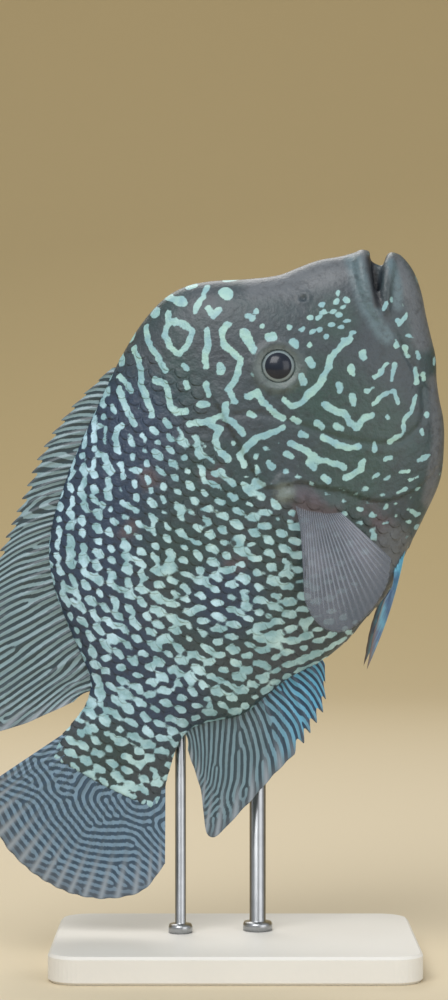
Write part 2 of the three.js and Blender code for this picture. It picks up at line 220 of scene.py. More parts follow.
# Body sections: place tailward, back line, belly line and half width, all in mm
body = {
    "sections": [
        (-6.2, -4.6, -7.6, 2.4), (-4.4, -2.6, -11.8, 5.0), (-2.0, 5.2, -15.4, 7.0), (1.0, 9.0, -18.6, 8.6),
        (4.0, 12.2, -21.3, 9.8), (9.0, 18.8, -25.2, 11.4), (15, 24.4, -30.3, 13.0), (21, 29.8, -35.4, 14.5),
        (28, 40.2, -39.4, 16.0), (34, 50.4, -43.6, 17.2), (40, 57.8, -48.4, 18.2), (48, 62.9, -52.8, 19.2),
        (60, 66.0, -57.4, 20.3), (75, 67.0, -58.4, 21.0), (90, 66.6, -58.6, 21.0), (105, 65.9, -59.4, 20.4),
        (118, 65.0, -56.4, 19.2), (130, 63.3, -53.4, 17.6), (140, 61.4, -48.4, 15.8),
        (150, 57.4, -41.4, 13.8), (160, 50.2, -37.0, 11.8), (170, 39.2, -32.2, 9.8),
        (178, 29.2, -22.4, 8.2), (184, 22.8, -17.6, 7.0), (192, 20.4, -16.9, 5.6), (200, 21.6, -18.4, 4.0),
        (206, 22.8, -19.6, 2.5), (211, 23.2, -20.4, 1.5), (216, 23.4, -20.8, 0.8),
    ],
    # height of the widest line, and how square the sections are: above one is leaner
    "widestShare": 0.47, "topPower": 0.86, "topPowerGain": 0.42, "topPowerOver": (35, 95), "bellyPower": 0.92,
    "rings": 170, "ringCrowding": 1.3, "sides": 96, "voxel": 0.8, "smoothing": 5,
}
sectionTable = np.array(body["sections"])


def sectionValue(column, s):
    x, y = sectionTable[:, 0], sectionTable[:, column]
    slope = np.empty_like(y)
    slope[1:-1] = (y[2:] - y[:-2]) / (x[2:] - x[:-2])
    slope[0] = (y[1] - y[0]) / (x[1] - x[0])
    slope[-1] = (y[-1] - y[-2]) / (x[-1] - x[-2])
    s = np.clip(s, x[0], x[-1])
    i = np.clip(np.searchsorted(x, s, side="right") - 1, 0, len(x) - 2)
    span = x[i + 1] - x[i]
    t = (s - x[i]) / span
    blend = t * t * (3 - 2 * t)
    rise = slope[i] * span * t * (1 - t) ** 2 + slope[i + 1] * span * t**2 * (t - 1)
    return y[i] + (y[i + 1] - y[i]) * blend + rise


def sectionAt(s):
    s = np.asarray(s, float)
    top, belly, half = (sectionValue(column, s) for column in (1, 2, 3))
    middle = belly + (top - belly) * body["widestShare"]
    topPower = body["topPower"] + body["topPowerGain"] * smoothStep(s, *body["topPowerOver"])
    return top, belly, half, middle, topPower


def bodyPoint(s, turn, grow=0.0):
    # turn runs from 0 at the back line to pi at the belly on the left side
    top, belly, half, middle, topPower = sectionAt(s)
    cosine, sine = np.cos(turn), np.sin(turn)
    power = body["bellyPower"] + (topPower - body["bellyPower"]) * (cosine + 1) / 2
    reach = np.where(cosine > 0, top - middle, middle - belly) + grow
    side = np.sign(sine) * (half + grow) * np.abs(sine) ** power
    return np.stack([s + 0 * turn, middle + reach * cosine, side], -1)


def turnAt(s, h):
    top, belly, half, middle, topPower = sectionAt(s)
    reach = np.where(h > middle, top - middle, middle - belly)
    return np.arccos(np.clip((h - middle) / reach, -1, 1))


def flankWidth(s, h):
    return bodyPoint(np.asarray(s, float), turnAt(s, h))[..., 2]


# Girth: how far round the flank a place lies from the widest line, in mm, for patterns and scale rows
girth = {"s": np.linspace(*sectionTable[[0, -1], 0], 226), "turn": np.linspace(0, math.pi, 181)}


def measureGirth():
    ss, tt = np.meshgrid(girth["s"], girth["turn"], indexing="ij")
    p = bodyPoint(ss, tt)
    step = np.hypot(np.diff(p[..., 1], axis=1), np.diff(p[..., 2], axis=1))
    run = np.concatenate([np.zeros((len(ss), 1)), np.cumsum(step, axis=1)], axis=1)
    return run[:, len(girth["turn"]) // 2, None] - run


girth["run"] = measureGirth()


def girthAt(s, turn):
    # height round the flank: above zero towards the back, below it towards the belly
    along = (s - girth["s"][0]) / (girth["s"][1] - girth["s"][0])
    return gridValue(girth["run"], along, turn / (girth["turn"][1] - girth["turn"][0]))


# Markings: a reaction pattern grown on the unrolled flank from seeded noise and a few drawn strokes
marks = {
    "pitch": 0.4, "sFrom": -10.0, "sTo": 222.0, "reach": 92.0, "rounds": 46, "seed": 11,
    # half widths of the strokes and dots, the soft band round them, and how far a quiet place fades
    "strokeHalf": 1.25, "chinHalf": 0.85, "dotHalf": 1.15, "moat": (1.6, 3.4), "quiet": (0.8, 1.1),
    "edge": 0.6, "rippleReach": 0.55, "rippleShare": 0.8,
    # where the long strokes of head and nape give way to the flank's ovals
    "headTo": (58, 78), "headLean": 0.18, "headMiddle": -6, "throat": (-44, -32), "nape": (24, 44),
    "napeTo": (70, 96), "headWaves": (7.4, 7.8, 0.2), "headBias": -0.38,
    "flankWaves": (5.6, 6.4, 0.0), "flankBias": -0.2, "flankHold": 0.92,
    # marks fade on plain skin and over the rim of the head
    "bare": 1.4, "rim": (-0.5, 1.8), "rimTo": (40, 60),
    # the head's greener marks, and the cheek with its low plates
    "headward": (70, 104), "cheekFrom": (36, 54), "cheekTo": (84, 96),
}
growth = {"sharp": 0.26, "gain": 3.2, "start": 0.6}
# strokes drawn over the head, as places in the photo
headStrokes = [
    [(350, 339), (340, 348), (330, 358), (327, 368), (322, 380), (317, 388), (308, 395), (302, 403),
     (290, 407), (283, 401)],
    [(228, 325), (222, 332), (224, 345), (232, 352), (240, 360), (238, 372), (234, 382), (228, 390),
     (235, 402)], [(247, 397), (257, 393), (262, 402), (272, 412), (282, 419)], [(250, 414), (254, 416)],
    [(282, 428), (268, 435), (256, 438), (246, 448), (240, 456), (244, 466)],
    [(323, 405), (335, 412), (343, 414), (350, 424), (356, 428), (364, 418), (372, 416)],
    [(290, 443), (305, 451), (318, 460), (330, 463), (343, 467)],
    [(322, 438), (335, 443), (345, 448), (357, 447)], [(350, 367), (351, 373)], [(338, 385), (339, 391)],
    [(352, 397), (353, 404)], [(309, 361), (312, 366)], [(301, 377), (304, 383)], [(362, 353), (364, 358)],
    [(268, 463), (273, 468)], [(308, 463), (313, 468)], [(323, 477), (328, 480)], [(300, 434), (306, 437)],
    [(293, 419), (298, 422)], [(316, 424), (321, 427)], [(335, 426), (340, 429)], [(286, 454), (291, 457)],
    [(345, 478), (360, 470), (362, 462)],
    [(168, 312), (168, 320), (165, 335), (170, 347), (180, 354), (188, 345), (193, 330), (180, 322),
     (168, 320)], [(195, 310), (203, 295), (207, 285)],
    [(133, 347), (138, 358), (141, 370), (141, 385), (147, 400), (152, 415)],
    [(145, 325), (147, 338), (150, 345), (157, 355), (165, 370)], [(118, 375), (126, 382), (131, 390)],
    [(118, 388), (122, 400), (128, 412), (134, 424)],
    [(155, 380), (165, 384), (169, 395), (170, 405), (177, 413), (187, 412)],
    [(207, 330), (208, 345), (205, 357), (206, 368)], [(184, 366), (187, 369)], [(186, 383), (188, 388)],
    [(206, 383), (208, 395)], [(198, 405), (208, 405)], [(208, 308), (213, 316), (219, 309)],
    [(190, 424), (205, 422), (226, 415), (225, 405)], [(226, 418), (235, 425), (243, 435)],
    [(210, 425), (220, 430), (215, 440), (218, 450), (228, 460)],
    [(122, 425), (116, 428), (115, 440), (118, 452)],
]
# finer strokes on the chin
chinStrokes = [
    [(383, 308), (387, 303)], [(409, 313), (400, 324)], [(408, 335), (416, 338)], [(405, 346), (408, 357)],
    [(386, 364), (380, 374), (374, 378)], [(395, 364), (392, 380)], [(416, 367), (417, 383)],
    [(373, 405), (381, 396), (394, 391), (398, 403)],
    [(416, 396), (412, 411), (403, 421), (403, 433), (388, 442)], [(384, 460), (391, 458)],
    [(400, 472), (409, 471)], [(419, 460), (431, 455)], [(387, 417), (388, 418)], [(428, 414), (428, 416)],
    [(422, 430), (423, 433)], [(373, 444), (374, 450)], [(397, 319), (398, 320)], [(392, 300), (394, 296)],
    [(402, 300), (404, 305)], [(412, 300), (414, 306)], [(396, 340), (397, 346)], [(410, 480), (418, 477)],
    [(398, 492), (406, 489)], [(384, 480), (390, 476)], [(372, 478), (378, 474)], [(418, 350), (420, 358)],
    [(424, 372), (425, 380)], [(366, 392), (372, 388)],
]
# places where nothing grows but the strokes and dots, each with its reach in mm
quietPlaces = [
    ([(300, 290), (335, 275), (352, 300), (365, 330)], 9.0), ([(250, 306), (300, 318), (330, 325)], 7.5),
    ([(392, 275), (412, 320), (408, 400), (400, 440)], 8.5), ([(395, 430), (400, 480)], 7.0),
    ([(277, 368), (278, 369)], 9.6), ([(282, 490), (287, 495)], 4.3), ([(300, 498), (320, 510)], 4.2),
    ([(352, 262), (361, 290), (372, 318), (384, 338)], 5.5),
]
# small round dots on the cheek in front of the eye
cheekDots = [
    (338, 292), (336, 302), (343, 308), (339, 315), (347, 321), (331, 325), (341, 327), (326, 337),
    (312, 332), (302, 330), (310, 318), (319, 318), (324, 312), (322, 305), (290, 328), (346, 300),
    (333, 312), (320, 330), (252, 318), (256, 312), (247, 316), (262, 326), (309, 345), (353, 333),
    (345, 340),
]


def fieldGrid():
    s = np.arange(marks["sFrom"], marks["sTo"], marks["pitch"])
    y = np.arange(-marks["reach"], marks["reach"], marks["pitch"])
    return np.meshgrid(s, y, indexing="ij")


def bandGain(shape, pitch, alongS, alongY, lean):
    # gain over frequency that keeps waves of one length along s and another along y, turned by lean
    fs = np.fft.fftfreq(shape[0], pitch)[:, None]
    fy = np.fft.rfftfreq(shape[1], pitch)[None, :]
    a = fs * math.cos(lean) + fy * math.sin(lean)
    b = -fs * math.sin(lean) + fy * math.cos(lean)
    q = np.hypot(a * alongS, b * alongY)
    return np.exp(-(((q - 1) / growth["sharp"]) ** 2))


def growPattern(shape, pitch, kinds, weights, bias, seed, rounds, hold=0.0, target=0.0):
    rng = np.random.default_rng(seed)
    field = rng.normal(0, growth["start"], shape)
    gains = [bandGain(shape, pitch, *kind) for kind in kinds]
    for count in range(rounds):
        spectrum = np.fft.rfft2(field * (1 - hold) + target * hold)
        mixed = sum(w * np.fft.irfft2(spectrum * g, shape) for w, g in zip(weights, gains))
        field = np.tanh(growth["gain"] * mixed + bias)
    return field * (1 - hold) + target * hold


def strokePlaces(points):
    s, h = pixelsToFish(points)
    return np.stack([s, girthAt(s, turnAt(s, h))], -1)


# Scale rows: one place per scale on the unrolled flank, every other column set half a row up
scaleRows = {"along": 4.1, "around": 6.1, "from": 18.0, "to": 219.0, "reach": 84.0}


def scalePlaces():
    columns = np.arange(scaleRows["from"], scaleRows["to"], scaleRows["along"])
    rows = np.arange(-scaleRows["reach"], scaleRows["reach"], scaleRows["around"])
    s, y = np.meshgrid(columns, rows, indexing="ij")
    y = y + 0.5 * scaleRows["around"] * (np.arange(len(columns)) % 2)[:, None]
    return s, y


# each scale has a pale oval, leaning tailward below the back and forward above the belly
oval = {
    "long": 2.5, "short": 1.38, "sizeSpread": 0.16, "sizeRange": (0.62, 1.3),
    "lean": 0.64, "leanSpread": 11, "jitter": 0.36, "jitterAlong": 0.7,
    # smaller on the breast and below the nape, a little larger towards the tail
    "breast": 0.42, "breastLean": 0.9, "breastOver": (-96, -62), "rear": 0.04, "rearOver": (118, 165),
    "shoulder": 0.26, "shoulderAt": (112, 26), "shoulderOver": (10, 25),
    # the share joined to a neighbour, round the flank or along it, by a bridge of this size
    "joined": 0.07, "joinedAlong": 1.7, "bridge": (2.2, 1.15),
    "soften": 0.25, "rough": 0.26, "window": 6.5, "seed": 5,
}


def softened(field, reach):
    fs = np.fft.fftfreq(field.shape[0], marks["pitch"])[:, None]
    fy = np.fft.rfftfreq(field.shape[1], marks["pitch"])[None, :]
    gain = np.exp(-2 * (math.pi * reach) ** 2 * (fs**2 + fy**2))
    return np.fft.irfft2(np.fft.rfft2(field) * gain, field.shape)


def ovalInk(ss, yy):
    rng = np.random.default_rng(oval["seed"])
    s0, y0 = scalePlaces()
    shape = s0.shape
    s = s0 + rng.normal(0, oval["jitter"] * oval["jitterAlong"], shape)
    y = y0 + rng.normal(0, oval["jitter"], shape)
    size = np.clip(rng.normal(1.0, oval["sizeSpread"], shape), *oval["sizeRange"])
    pull = rng.random(shape)
    lean = np.radians(oval["lean"] * y + rng.normal(0, oval["leanSpread"], shape))
    size *= 1 - oval["breast"] * smoothStep(-s - oval["breastLean"] * y, *oval["breastOver"])
    size *= 1 + oval["rear"] * smoothStep(s, *oval["rearOver"])
    away = np.hypot(s - oval["shoulderAt"][0], y - oval["shoulderAt"][1])
    size *= 1 - oval["shoulder"] * (1 - smoothStep(away, *oval["shoulderOver"]))
    ink = np.full(ss.shape, 1e9)
    near = int(oval["window"] / marks["pitch"])

    def press(sc, yc, length, width, angle):
        i = int(round((sc - marks["sFrom"]) / marks["pitch"]))
        j = int(round((yc + marks["reach"]) / marks["pitch"]))
        window = (slice(max(i - near, 0), i + near), slice(max(j - near, 0), j + near))
        ds, dy = ss[window] - sc, yy[window] - yc
        if ds.size:
            a = -ds * math.sin(angle) + dy * math.cos(angle)
            b = ds * math.cos(angle) + dy * math.sin(angle)
            ink[window] = np.minimum(ink[window], (np.hypot(a / length, b / width) - 1) * width)

    for i in range(shape[0]):
        for j in range(shape[1] - 1):
            press(s[i, j], y[i, j], oval["long"] * size[i, j], oval["short"] * size[i, j], lean[i, j])
            other = None
            if pull[i, j] < oval["joined"]:
                other = (i, j + 1)
            elif pull[i, j] < oval["joinedAlong"] * oval["joined"] and i + 1 < shape[0]:
                other = (i + 1, j)
            if other:
                angle = math.atan2(s[i, j] - s[other], y[other] - y[i, j])
                press((s[i, j] + s[other]) / 2, (y[i, j] + y[other]) / 2, *oval["bridge"], angle)
    return ink


def growMarks():
    ss, yy = fieldGrid()
    ripple = softened(np.random.default_rng(marks["seed"]).normal(0, 1, ss.shape), marks["rippleReach"])
    ripple *= oval["rough"] / ripple.std()
    ink = np.full(ss.shape, 1e9)
    for strokes, half in ((headStrokes, marks["strokeHalf"]), (chinStrokes, marks["chinHalf"])):
        for stroke in strokes:
            ink = np.minimum(ink, lineDistance(ss, yy, strokePlaces(stroke)) - half)
    for s, y in strokePlaces(cheekDots):
        ink = np.minimum(ink, np.hypot(ss - s, yy - y) - marks["dotHalf"])
    ink += marks["rippleShare"] * ripple
    hold = 1 - smoothStep(ink, *marks["moat"])
    for line, reach in quietPlaces:
        away = lineDistance(ss, yy, strokePlaces(line)) / reach
        hold = np.maximum(hold, 1 - smoothStep(away, *marks["quiet"]))
    target = np.where(ink < 0, 1.0, -1.0) * np.clip(np.abs(ink) / marks["edge"], 0, 1)
    head = 1 - smoothStep(ss - marks["headLean"] * np.abs(yy - marks["headMiddle"]), *marks["headTo"])
    nape = smoothStep(yy, *marks["nape"]) * (1 - smoothStep(ss, *marks["napeTo"]))
    worm = np.clip(head * smoothStep(yy, *marks["throat"]) + nape, 0, 1)
    flank = (1 - worm) * (1 - hold)
    ovals = softened(np.clip(-(ovalInk(ss, yy) + ripple) / marks["edge"], -1, 1), oval["soften"])
    target = (target * hold + ovals * flank) / np.maximum(hold + flank, 1e-6)
    hold = np.clip(hold + marks["flankHold"] * flank, 0, 1)
    bias = marks["headBias"] * worm + marks["flankBias"] * (1 - worm)
    kinds = [marks["headWaves"], marks["flankWaves"]]
    return growPattern(
        ss.shape, marks["pitch"], kinds, [worm, 1 - worm], bias, marks["seed"], marks["rounds"], hold, target
    )


markField = growMarks()
print("markings grown")


def markAt(s, y):
    return gridValue(markField, (s - marks["sFrom"]) / marks["pitch"], (y + marks["reach"]) / marks["pitch"])


# places of plain skin, of tints and of painted mouth shade, in the photo, each with its reach in mm
tints = {
    "plain": [
        ([(356, 250), (352, 262), (320, 272), (285, 284), (258, 286)], 6.8), ([(395, 540), (370, 600)], 7.0),
        ([(396, 262), (418, 300), (424, 340)], 5.0), ([(436, 380), (440, 440), (430, 500)], 3.0),
    ],
    "lip": [
        ([(354, 258), (360, 280), (366, 303), (376, 322), (386, 336)], 3.6),
        ([(392, 262), (398, 285), (398, 305)], 2.4),
    ],
    "orbit": [([(277, 368), (278, 369)], 9.0), ([(284, 492), (284, 493)], 4.2)],
    # painted shade: the shadow inside the mouth and on the lip beside it, painted dark along the mouth's cut
    "mouthDark": [([(371, 258), (375, 280), (378, 304)], 2.1)],
    "green": [([(325, 395), (372, 425), (345, 470)], 17.0), ([(335, 320)], 10.0)],
    "purple": [
        ([(305, 505), (330, 520)], 8.0), ([(125, 525)], 6.0), ([(285, 550)], 6.0), ([(210, 470)], 6.0),
        ([(150, 480)], 6.0), ([(375, 520), (395, 560)], 8.0), ([(235, 560)], 5.0),
    ],
    "blue": [
        ([(120, 430), (85, 520), (80, 600), (110, 660)], 26.0), ([(225, 600)], 16.0), ([(160, 700)], 20.0),
    ],
}
tintFade = (0.35, 1.25)


def tintAmount(kind, s, h):
    amount = np.zeros(np.shape(s))
    for points, reach in tints[kind]:
        line = np.stack(pixelsToFish(points), -1)
        if len(line) == 1:
            line = np.vstack([line, line + 0.1])
        amount = np.maximum(amount, 1 - smoothStep(lineDistance(s, h, line) / reach, *tintFade))
    return amount


def paintSkin(obj):
    s, h, w = toFish(meshPoints(obj)).T
    top, belly = sectionAt(s)[:2]
    amounts = {kind: tintAmount(kind, s, h) for kind in tints}
    bare = np.clip(amounts["plain"] + amounts["lip"] + amounts["mouthDark"], 0, 1)
    rim = 1 - smoothStep(np.minimum(top - h, h - belly), *marks["rim"])
    rim *= 1 - smoothStep(s, *marks["rimTo"])
    amounts["spots"] = markAt(s, girthAt(s, turnAt(s, h))) - marks["bare"] * bare - rim
    amounts["headward"] = 1 - smoothStep(s, *marks["headward"])
    amounts["cheek"] = smoothStep(s, *marks["cheekFrom"]) * (1 - smoothStep(s, *marks["cheekTo"]))
    amounts["cheek"] *= 1 - amounts["orbit"]
    for kind, amount in amounts.items():
        setAttribute(obj, kind, amount)


# the bake's map: its margin, and the lengths of the fish that it covers
bake = {"margin": 0.01, "sFrom": -8.0, "sSpan": 226.0, "turnPerMm": 1.0 / 150}


def bakeAlong(s):
    return np.clip((s - bake["sFrom"]) / bake["sSpan"], 0, 1)


def writeMap(obj, u, v, upper=None):
    # u and v run from 0 to 1, over the whole map or in its lower and upper halves
    tall, shift = (1.0, 0.0) if upper is None else (0.5, np.where(upper, 0.5, 0))
    u = bake["margin"] + (1 - 2 * bake["margin"]) * u
    v = bake["margin"] + (tall - 2 * bake["margin"]) * v + shift
    layer = obj.data.uv_layers.new(name="OFBake")
    layer.data.foreach_set("uv", np.stack([u, v], -1).ravel())


def unwrapSkin(obj):
    # two charts, the right side below and the left side above, each as far round as the skin goes
    s, h, w = toFish(meshPoints(obj)).T
    corner = faceCorners(obj)
    totals = readValues(obj.data.polygons, "loop_total", int)
    faceOf = np.repeat(np.arange(len(totals)), totals)
    left = (np.bincount(faceOf, w[corner]) / totals)[faceOf] > 0
    across = (turnAt(s, h) / math.pi)[corner]
    wrong = np.where(left, w[corner] < 0, w[corner] > 0)
    across = np.where(wrong, np.where(across < 0.5, 0, 1), across)
    writeMap(obj, bakeAlong(s[corner]), across, left)


# Materials
def setInputs(tree, node, inputs):
    # each input is linked from a socket or set to a value
    for key, value in inputs.items():
        if isinstance(value, bpy.types.NodeSocket):
            tree.links.new(value, node.inputs[key])
        else:
            node.inputs[key].default_value = value


def addNode(tree, kind, inputs=None, **settings):
    node = tree.nodes.new(kind)
    setAll(node, settings)
    setInputs(tree, node, inputs or {})
    return node


def newMaterial(name):
    material = bpy.data.materials.new(name)
    material.use_nodes = True
    return material, material.node_tree


def setSurface(tree, colour, roughness, coat=0.0, **others):
    surface = {"Base Color": colour, "Roughness": roughness, "Coat Weight": coat}
    surface.update((label.replace("_", " "), value) for label, value in others.items())
    setInputs(tree, tree.nodes["Principled BSDF"], surface)


def mixColour(tree, amount, low, high):
    return addNode(tree, "ShaderNodeMix", {0: amount, 6: low, 7: high}, data_type="RGBA").outputs[2]


def ramp(tree, value, low, high):
    ends = {"Value": value, "From Min": low, "From Max": high}
    return addNode(tree, "ShaderNodeMapRange", ends, interpolation_type="SMOOTHSTEP").outputs["Result"]


def maths(tree, operation, a, b):
    return addNode(tree, "ShaderNodeMath", {0: a, 1: b}, operation=operation).outputs[0]


def times(tree, a, b):
    return maths(tree, "MULTIPLY", a, b)


def attributeValue(tree, name):
    return addNode(tree, "ShaderNodeAttribute", attribute_name=name).outputs["Fac"]


def objectPlace(tree):
    return addNode(tree, "ShaderNodeTexCoord").outputs["Object"]


def noiseValue(tree, fineness, detail=2.0, roughness=0.5):
    inputs = {"Vector": objectPlace(tree), "Scale": fineness, "Detail": detail, "Roughness": roughness}
    return addNode(tree, "ShaderNodeTexNoise", inputs).outputs["Fac"]


def wobbled(tree, value, noise, reach):
    # the value, pushed up and down by the noise
    return maths(tree, "ADD", value, times(tree, maths(tree, "SUBTRACT", noise, 0.5), reach))


def clouded(tree, fineness, detail, ends, low, high):
    # two colours mixed by noise
    return mixColour(tree, ramp(tree, noiseValue(tree, fineness, detail), *ends), low, high)


def layered(tree, colour, layers):
    # one colour laid over another, each by its share
    for share, over in layers:
        colour = mixColour(tree, share, colour, over)
    return colour


def bump(tree, height, strength, distance):
    inputs = {"Height": height, "Strength": strength, "Distance": distance}
    return addNode(tree, "ShaderNodeBump", inputs).outputs["Normal"]


def srgb(red, green, blue):
    # a colour given as the 0 to 255 values that a picture shows
    parts = [((v / 255 + 0.055) / 1.055) ** 2.4 if v > 10 else v / 255 / 12.92 for v in (red, green, blue)]
    return (*parts, 1.0)


skinLook = {
    "ground": srgb(58, 68, 76), "groundBlue": srgb(42, 60, 84), "groundGreen": srgb(46, 68, 70),
    "plain": srgb(92, 98, 104), "purple": srgb(80, 74, 82), "lip": srgb(88, 108, 116),
    # dark: for the skin's own fine dark specks, and for the painted shade inside the mouth
    "orbit": srgb(112, 124, 122), "cheekGreen": srgb(48, 74, 68), "dark": srgb(34, 38, 44),
    "spot": srgb(184, 219, 223), "spotHead": srgb(160, 200, 192), "spotBlue": srgb(192, 228, 246),
    "rim": srgb(132, 174, 184), "roughness": 0.46, "coat": 0.22, "cells": 260, "cellsDeep": -0.9,
}


def makeSkinMaterial():
    material, tree = newMaterial("wetSkin")
    look = skinLook
    amount = {kind: attributeValue(tree, kind) for kind in (*tints, "spots", "headward", "cheek")}
    blotch, fine = noiseValue(tree, 38, 3.0), noiseValue(tree, 620)
    mottle = times(tree, ramp(tree, noiseValue(tree, 90, 3.0), 0.35, 0.6), amount["purple"])
    speck = times(tree, ramp(tree, noiseValue(tree, 330, 4.0, 0.65), 0.46, 0.7), 0.42)
    ground = mixColour(tree, ramp(tree, blotch, 0.35, 0.65), look["ground"], look["groundGreen"])
    ground = layered(tree, ground, [
        (amount["blue"], look["groundBlue"]), (times(tree, amount["green"], 0.7), look["cheekGreen"]),
        (mottle, look["purple"]), *((amount[kind], look[kind]) for kind in ("plain", "lip", "orbit")),
        # painted shade inside the mouth, then the skin's own fine dark specks
        (amount["mouthDark"], look["dark"]), (speck, look["dark"]),
    ])
    spot = mixColour(tree, amount["blue"], look["spot"], look["spotBlue"])
    spot = mixColour(tree, amount["headward"], spot, look["spotHead"])
    spot = clouded(tree, 160, 3.0, (0.3, 0.75), look["rim"], spot)
    marked = ramp(tree, wobbled(tree, amount["spots"], fine, 0.9), -0.2, 0.4)
    # low plates on the cheek, over fine grain and broad unevenness
    inputs = {"Vector": objectPlace(tree), "Scale": look["cells"]}
    cells = addNode(tree, "ShaderNodeTexVoronoi", inputs, feature="SMOOTH_F1").outputs["Distance"]
    plates = times(tree, cells, times(tree, amount["cheek"], look["cellsDeep"]))
    height = maths(tree, "ADD", maths(tree, "ADD", fine, times(tree, blotch, 0.6)), plates)
    setSurface(tree, mixColour(tree, marked, ground, spot), look["roughness"], look["coat"],
               Coat_Roughness=0.3, Normal=bump(tree, height, 0.5, 0.0007))
    return material


skinMaterial = makeSkinMaterial()


# Closed tubes and lofts
def loftObject(name, rings):
    rings = np.asarray(rings, float)
    count, sides = rings.shape[:2]
    points = np.vstack([rings.reshape(-1, 3), rings[0].mean(0), rings[-1].mean(0)])
    index = pointNumbers(count, sides, (0, 1))
    faces = quadsOf(index)
    faces += [(count * sides, b, a) for a, b in zip(index[0], index[0, 1:])]
    faces += [(count * sides + 1, a, b) for a, b in zip(index[-1], index[-1, 1:])]
    obj = meshObject(name, toModel(points), faces)
    pointOutward(obj)
    return obj


def pointOutward(obj):
    work = bmesh.new()
    work.from_mesh(obj.data)
    bmesh.ops.remove_doubles(work, verts=work.verts, dist=1e-7)
    bmesh.ops.recalc_face_normals(work, faces=work.faces)
    work.to_mesh(obj.data)
    work.free()


def tubeRings(path, radii, sides=14, steps=48):
    share = np.linspace(0, 1, steps)
    centre = splineThrough(path, share)
    radius = np.interp(share, np.linspace(0, 1, len(radii)), radii)
    ahead = np.gradient(centre, axis=0)
    ahead /= np.linalg.norm(ahead, axis=1, keepdims=True)
    # across a direction that no tube follows
    side = np.cross(ahead, (0.3, 0.8, 0.52))
    side /= np.linalg.norm(side, axis=1, keepdims=True)
    up = np.cross(side, ahead)
    turn = ringPlaces(sides)[None, :, None]
    ring = np.cos(turn) * side[:, None] + np.sin(turn) * up[:, None]
    return centre[:, None] + ring * radius[:, None, None]


def bothSides(path):
    near = [(s, h, -w) for s, h, w in path]
    return near + [tuple(p) for p in path[:-1][::-1]]


def prismObject(name, outline, reach):
    n = len(outline)
    points = [(s, h, -reach) for s, h in outline] + [(s, h, reach) for s, h in outline]
    faces = [tuple(range(n)), tuple(range(2 * n - 1, n - 1, -1))]
    faces += [(k, (k + 1) % n, n + (k + 1) % n, n + k) for k in range(n)]
    obj = meshObject(name, toModel(points), faces, smooth=False)
    pointOutward(obj)
    return obj


# The skin: one closed surface from body, lips and eye rims, remeshed and then carved
mouth = {
    "wedge": [(-14, 5.2), (0.4, 3.0), (8.4, -1.7), (16.6, -9.4), (8.0, -5.2), (0.4, -2.8), (-14, -3.8)],
    "wedgeReach": 40,
    "upperLip": [
        (22.4, -14.2, 13.3), (19.0, -9.2, 12.6), (14.4, -3.6, 11.4), (8.4, 1.4, 9.6), (3.6, 4.4, 7.0),
        (1.2, 5.2, 3.4), (0.7, 5.4, 0),
    ],
    "upperRadii": [0.8, 2.2, 3.2, 3.4, 3.3, 2.9, 2.6, 2.9, 3.3, 3.4, 3.2, 2.2, 0.8],
    "lowerLip": [
        (17, -13.4, 12.6), (15.4, -11.4, 12.4), (9, -8.0, 11.0), (2.4, -5.6, 8.6), (-2.4, -4.8, 5.0),
        (-3.8, -4.6, 0),
    ],
    "lowerRadii": [0.5, 1.4, 2.0, 2.3, 2.3, 2.4, 2.3, 2.3, 2.0, 1.4, 0.5],
    "floor": [(1.6, 8), (18, -2), (18, -14), (0.8, -6)],
    "floorReach": 6.0,
}
eye = {
    "s": 51.4, "h": 14.2, "radius": 7.4, "depth": 5.2, "bulge": 1.9, "socketGap": 0.15,
    "rimRadius": 8.4, "rimThick": 1.35, "rimSink": 0.55, "rimSides": (40, 12),
}


def eyeFrame(side):
    step = 2.0
    s, h = eye["s"], eye["h"]
    along = float(flankWidth(s + step, h) - flankWidth(s - step, h)) / (2 * step)
    up = float(flankWidth(s, h + step) - flankWidth(s, h - step)) / (2 * step)
    outward = np.array([-along, -up, side])
    outward /= np.linalg.norm(outward)
    first = np.cross((0, 1, 0), outward)
    first /= np.linalg.norm(first)
    centre = np.array([s, h, side * float(flankWidth(s, h))])
    return centre, outward, first, np.cross(outward, first)


def eyeRings(side, profile, sides):
    # rings about the eye's axis, one for each reach outward and radius in the profile
    centre, outward, first, second = eyeFrame(side)
    middle = centre + outward * (eye["bulge"] - eye["depth"])
    turn = ringPlaces(sides)[:, None]
    around = np.cos(turn) * first + np.sin(turn) * second
    return [middle + outward * out + flat * around for out, flat in profile]


def socketObject(side, rings=28, sides=48):
    deep, wide = eye["depth"] + eye["socketGap"], eye["radius"] + eye["socketGap"]
    polar = np.pi * np.arange(1, rings) / rings
    return loftObject("socket", eyeRings(side, zip(deep * np.cos(polar), wide * np.sin(polar)), sides))


def rimObject(name, side):
    centre, outward, first, second = eyeFrame(side)
    middle = centre - outward * eye["rimSink"]
    major, minor = eye["rimSides"]
    turn, roll = ringPlaces(major)[:, None, None], ringPlaces(minor)[:, None]
    ray = np.cos(turn) * first + np.sin(turn) * second
    points = (middle + ray * (eye["rimRadius"] + eye["rimThick"] * np.cos(roll))
              + outward * eye["rimThick"] * np.sin(roll))
    obj = meshObject(name, toModel(points.reshape(-1, 3)), quadsOf(pointNumbers(major, minor, (1, 1))))
    pointOutward(obj)
    return obj


def cutWith(obj, tool):
    modify(obj, "BOOLEAN", operation="DIFFERENCE", solver="EXACT", object=tool)
    bpy.data.objects.remove(tool)


def joinInto(target, other):
    work = bmesh.new()
    for obj in (target, other):
        work.from_mesh(obj.data)
    work.to_mesh(target.data)
    work.free()
    bpy.data.objects.remove(other)


